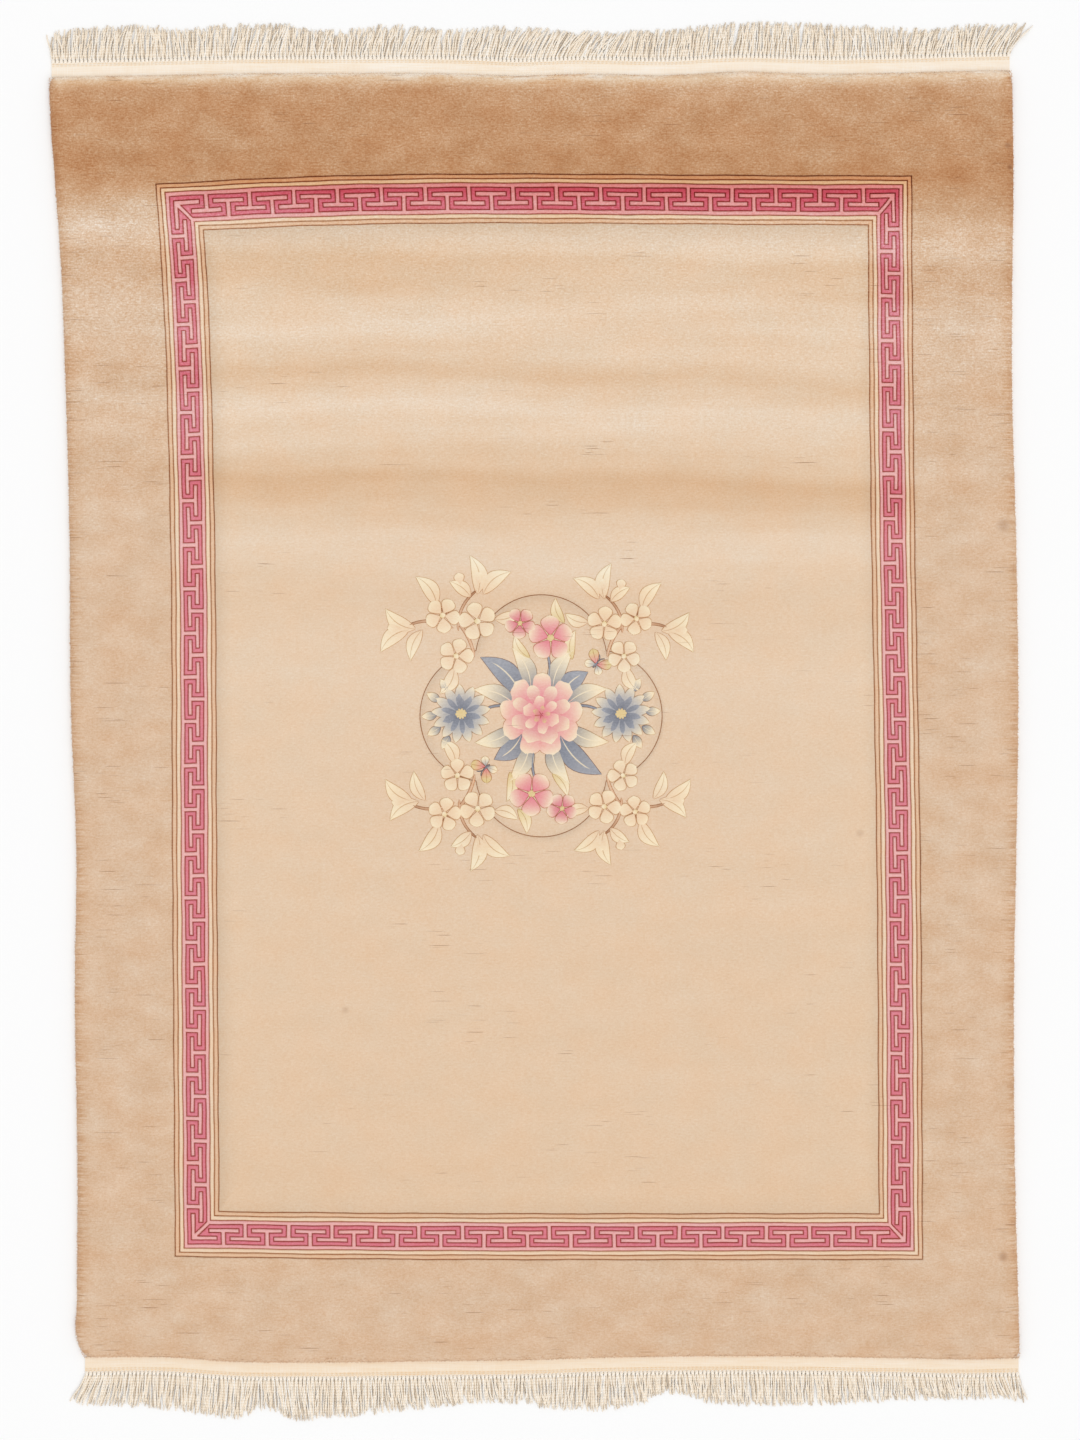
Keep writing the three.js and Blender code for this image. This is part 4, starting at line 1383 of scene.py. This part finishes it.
class RUG_OT_pile(RugOperator, bpy.types.Operator):
    """Makes the foundation, the plain border and the field"""

    bl_idname = "rug.pile"
    bl_label = "Pile and foundation"

    def work(self, sizes, dyes):
        dress(build_foundation(sizes, dyes), "weave", "wool_pile", "pile_body")
        dress(build_border(sizes, dyes), "border", "wool_pile")
        dress(build_field(sizes, dyes), "field", "wool_pile")
        dress(build_tufts(sizes, dyes), "border", "wool_pile")


class RUG_OT_fret(RugOperator, bpy.types.Operator):
    """Makes the carved fret border, one piece for each side"""

    bl_idname = "rug.fret"
    bl_label = "Fret border"

    def work(self, sizes, dyes):
        lines = carved_lines()
        for side in SIDE_LENGTH:
            dress(build_fret(side, lines, sizes, dyes), "fret", "wool_pile")


class RUG_OT_medallion(RugOperator, bpy.types.Operator):
    """Makes the flowers of the medallion and the sprays round it"""

    bl_idname = "rug.medallion"
    bl_label = "Medallion"

    def work(self, sizes, dyes):
        d = {key: tuple(getattr(dyes, key)) for key in
             ("blue", "deep_blue", "blossom", "gold", "petal", "rose", "tan", "line")}
        dress(build_motifs("medallion_bouquet", bouquet(d), sizes, dyes), "motif", "wool_pile")
        sprays = [row for turn, flip, size in SPRAYS for row in spray(d, turn, flip, size)]
        dress(build_motifs("blossom_sprays", sprays, sizes, dyes), "motif", "wool_pile")


class RUG_OT_ends(RugOperator, bpy.types.Operator):
    """Makes the woven bands and the fringes at both ends"""

    bl_idname = "rug.ends"
    bl_label = "Bands and fringes"

    def work(self, sizes, dyes):
        for end in END_SPAN:
            band = dress(build_band(end, sizes), "weave", "cotton_fringe", f"{end}_fringe")
            yarns = dress(build_fringe(end, sizes), "yarn", "cotton_fringe")


class RUG_OT_declare(RugOperator, bpy.types.Operator):
    bl_idname = "rug.declare"
    bl_label = "Declare the sheet"

    def work(self, sizes, dyes):
        names = ["border_pile", "field_pile", "rim_tufts", "medallion_bouquet", "blossom_sprays"]
        names += [f"fret_{side}" for side in SIDE_LENGTH]


# Stage

CAMERA_LENS = 85.0
CAMERA_SENSOR = 36.0
PHOTO_ROWS = 1440
PIXEL = 1.9 * MM

# Soft light: strength of the sky, and each lamp's turn, strength and width in degrees
SKY = 0.76
LAMPS = {"window": ((38, 0, 38), 0.75, 50), "fill": ((40, 0, -140), 0.25, 80)}
FLOOR_REACH = 9.0
FLOOR_LEVEL = -0.4 * MM


class RUG_OT_stage(RugOperator, bpy.types.Operator):
    """Makes the camera over the rug, the pale floor and the soft light"""

    bl_idname = "rug.stage"
    bl_label = "Stage"

    def work(self, sizes, dyes):
        scene = bpy.context.scene
        scene.view_settings.view_transform = "Standard"
        camera = bpy.data.cameras.new("camera")
        camera.lens, camera.sensor_width = CAMERA_LENS, CAMERA_SENSOR
        holder = bpy.data.objects.new("camera", camera)
        height = CAMERA_LENS / CAMERA_SENSOR * PHOTO_ROWS * PIXEL + sizes.pile_top
        holder.location = (SHIFT_X, SHIFT_Y, height)
        scene.collection.objects.link(holder)
        scene.camera = holder
        mesh = bpy.data.meshes.new("floor")
        mesh.from_pydata([(x * FLOOR_REACH, y * FLOOR_REACH, FLOOR_LEVEL) for x, y in
                          ((-1, -1), (1, -1), (1, 1), (-1, 1))], [], [(0, 1, 2, 3)])
        floor = bpy.data.objects.new("floor", mesh)
        scene.collection.objects.link(floor)
        material = bpy.data.materials.new("floor")
        material.use_nodes = True
        shader = material.node_tree.nodes["Principled BSDF"]
        shader.inputs["Base Color"].default_value = (0.97, 0.97, 0.97, 1)
        shader.inputs["Roughness"].default_value = 0.9
        mesh.materials.append(material)
        world = bpy.data.worlds.new("soft light")
        world.use_nodes = True
        sky = world.node_tree.nodes["Background"]
        sky.inputs["Color"].default_value = (1, 1, 1, 1)
        sky.inputs["Strength"].default_value = SKY
        scene.world = world
        for name, (turn, strength, soft) in LAMPS.items():
            light = bpy.data.lights.new(name, "SUN")
            light.energy, light.angle = strength, math.radians(soft)
            lamp = bpy.data.objects.new(name, light)
            lamp.rotation_euler = [math.radians(v) for v in turn]
            scene.collection.objects.link(lamp)


class RUG_PT_panel(bpy.types.Panel):
    """Lists the rug's sizes, colours and pieces"""

    bl_label = "Carved pile rug"
    bl_idname = "RUG_PT_panel"
    bl_space_type = "VIEW_3D"
    bl_region_type = "UI"
    bl_category = "Rug"

    def draw(self, context):
        for group in (context.scene.rug_sizes, context.scene.rug_dyes):
            for key in group.__annotations__:
                self.layout.prop(group, key)
        for operator in OPERATORS:
            self.layout.operator(operator.bl_idname)


OPERATORS = (RUG_OT_stage, RUG_OT_pile, RUG_OT_fret, RUG_OT_medallion, RUG_OT_ends,
             RUG_OT_declare)
CLASSES = (RugSizes, RugDyes, *OPERATORS, RUG_PT_panel)


def register():
    for cls in CLASSES:
        bpy.utils.register_class(cls)
    bpy.types.Scene.rug_sizes = bpy.props.PointerProperty(type=RugSizes)
    bpy.types.Scene.rug_dyes = bpy.props.PointerProperty(type=RugDyes)


def unregister():
    del bpy.types.Scene.rug_dyes
    del bpy.types.Scene.rug_sizes
    for cls in reversed(CLASSES):
        bpy.utils.unregister_class(cls)


def main():
    """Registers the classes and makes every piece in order."""
    register()
    for operator in OPERATORS:
        getattr(bpy.ops.rug, operator.bl_idname.split(".")[1])()


if __name__ == "__main__":
    main()
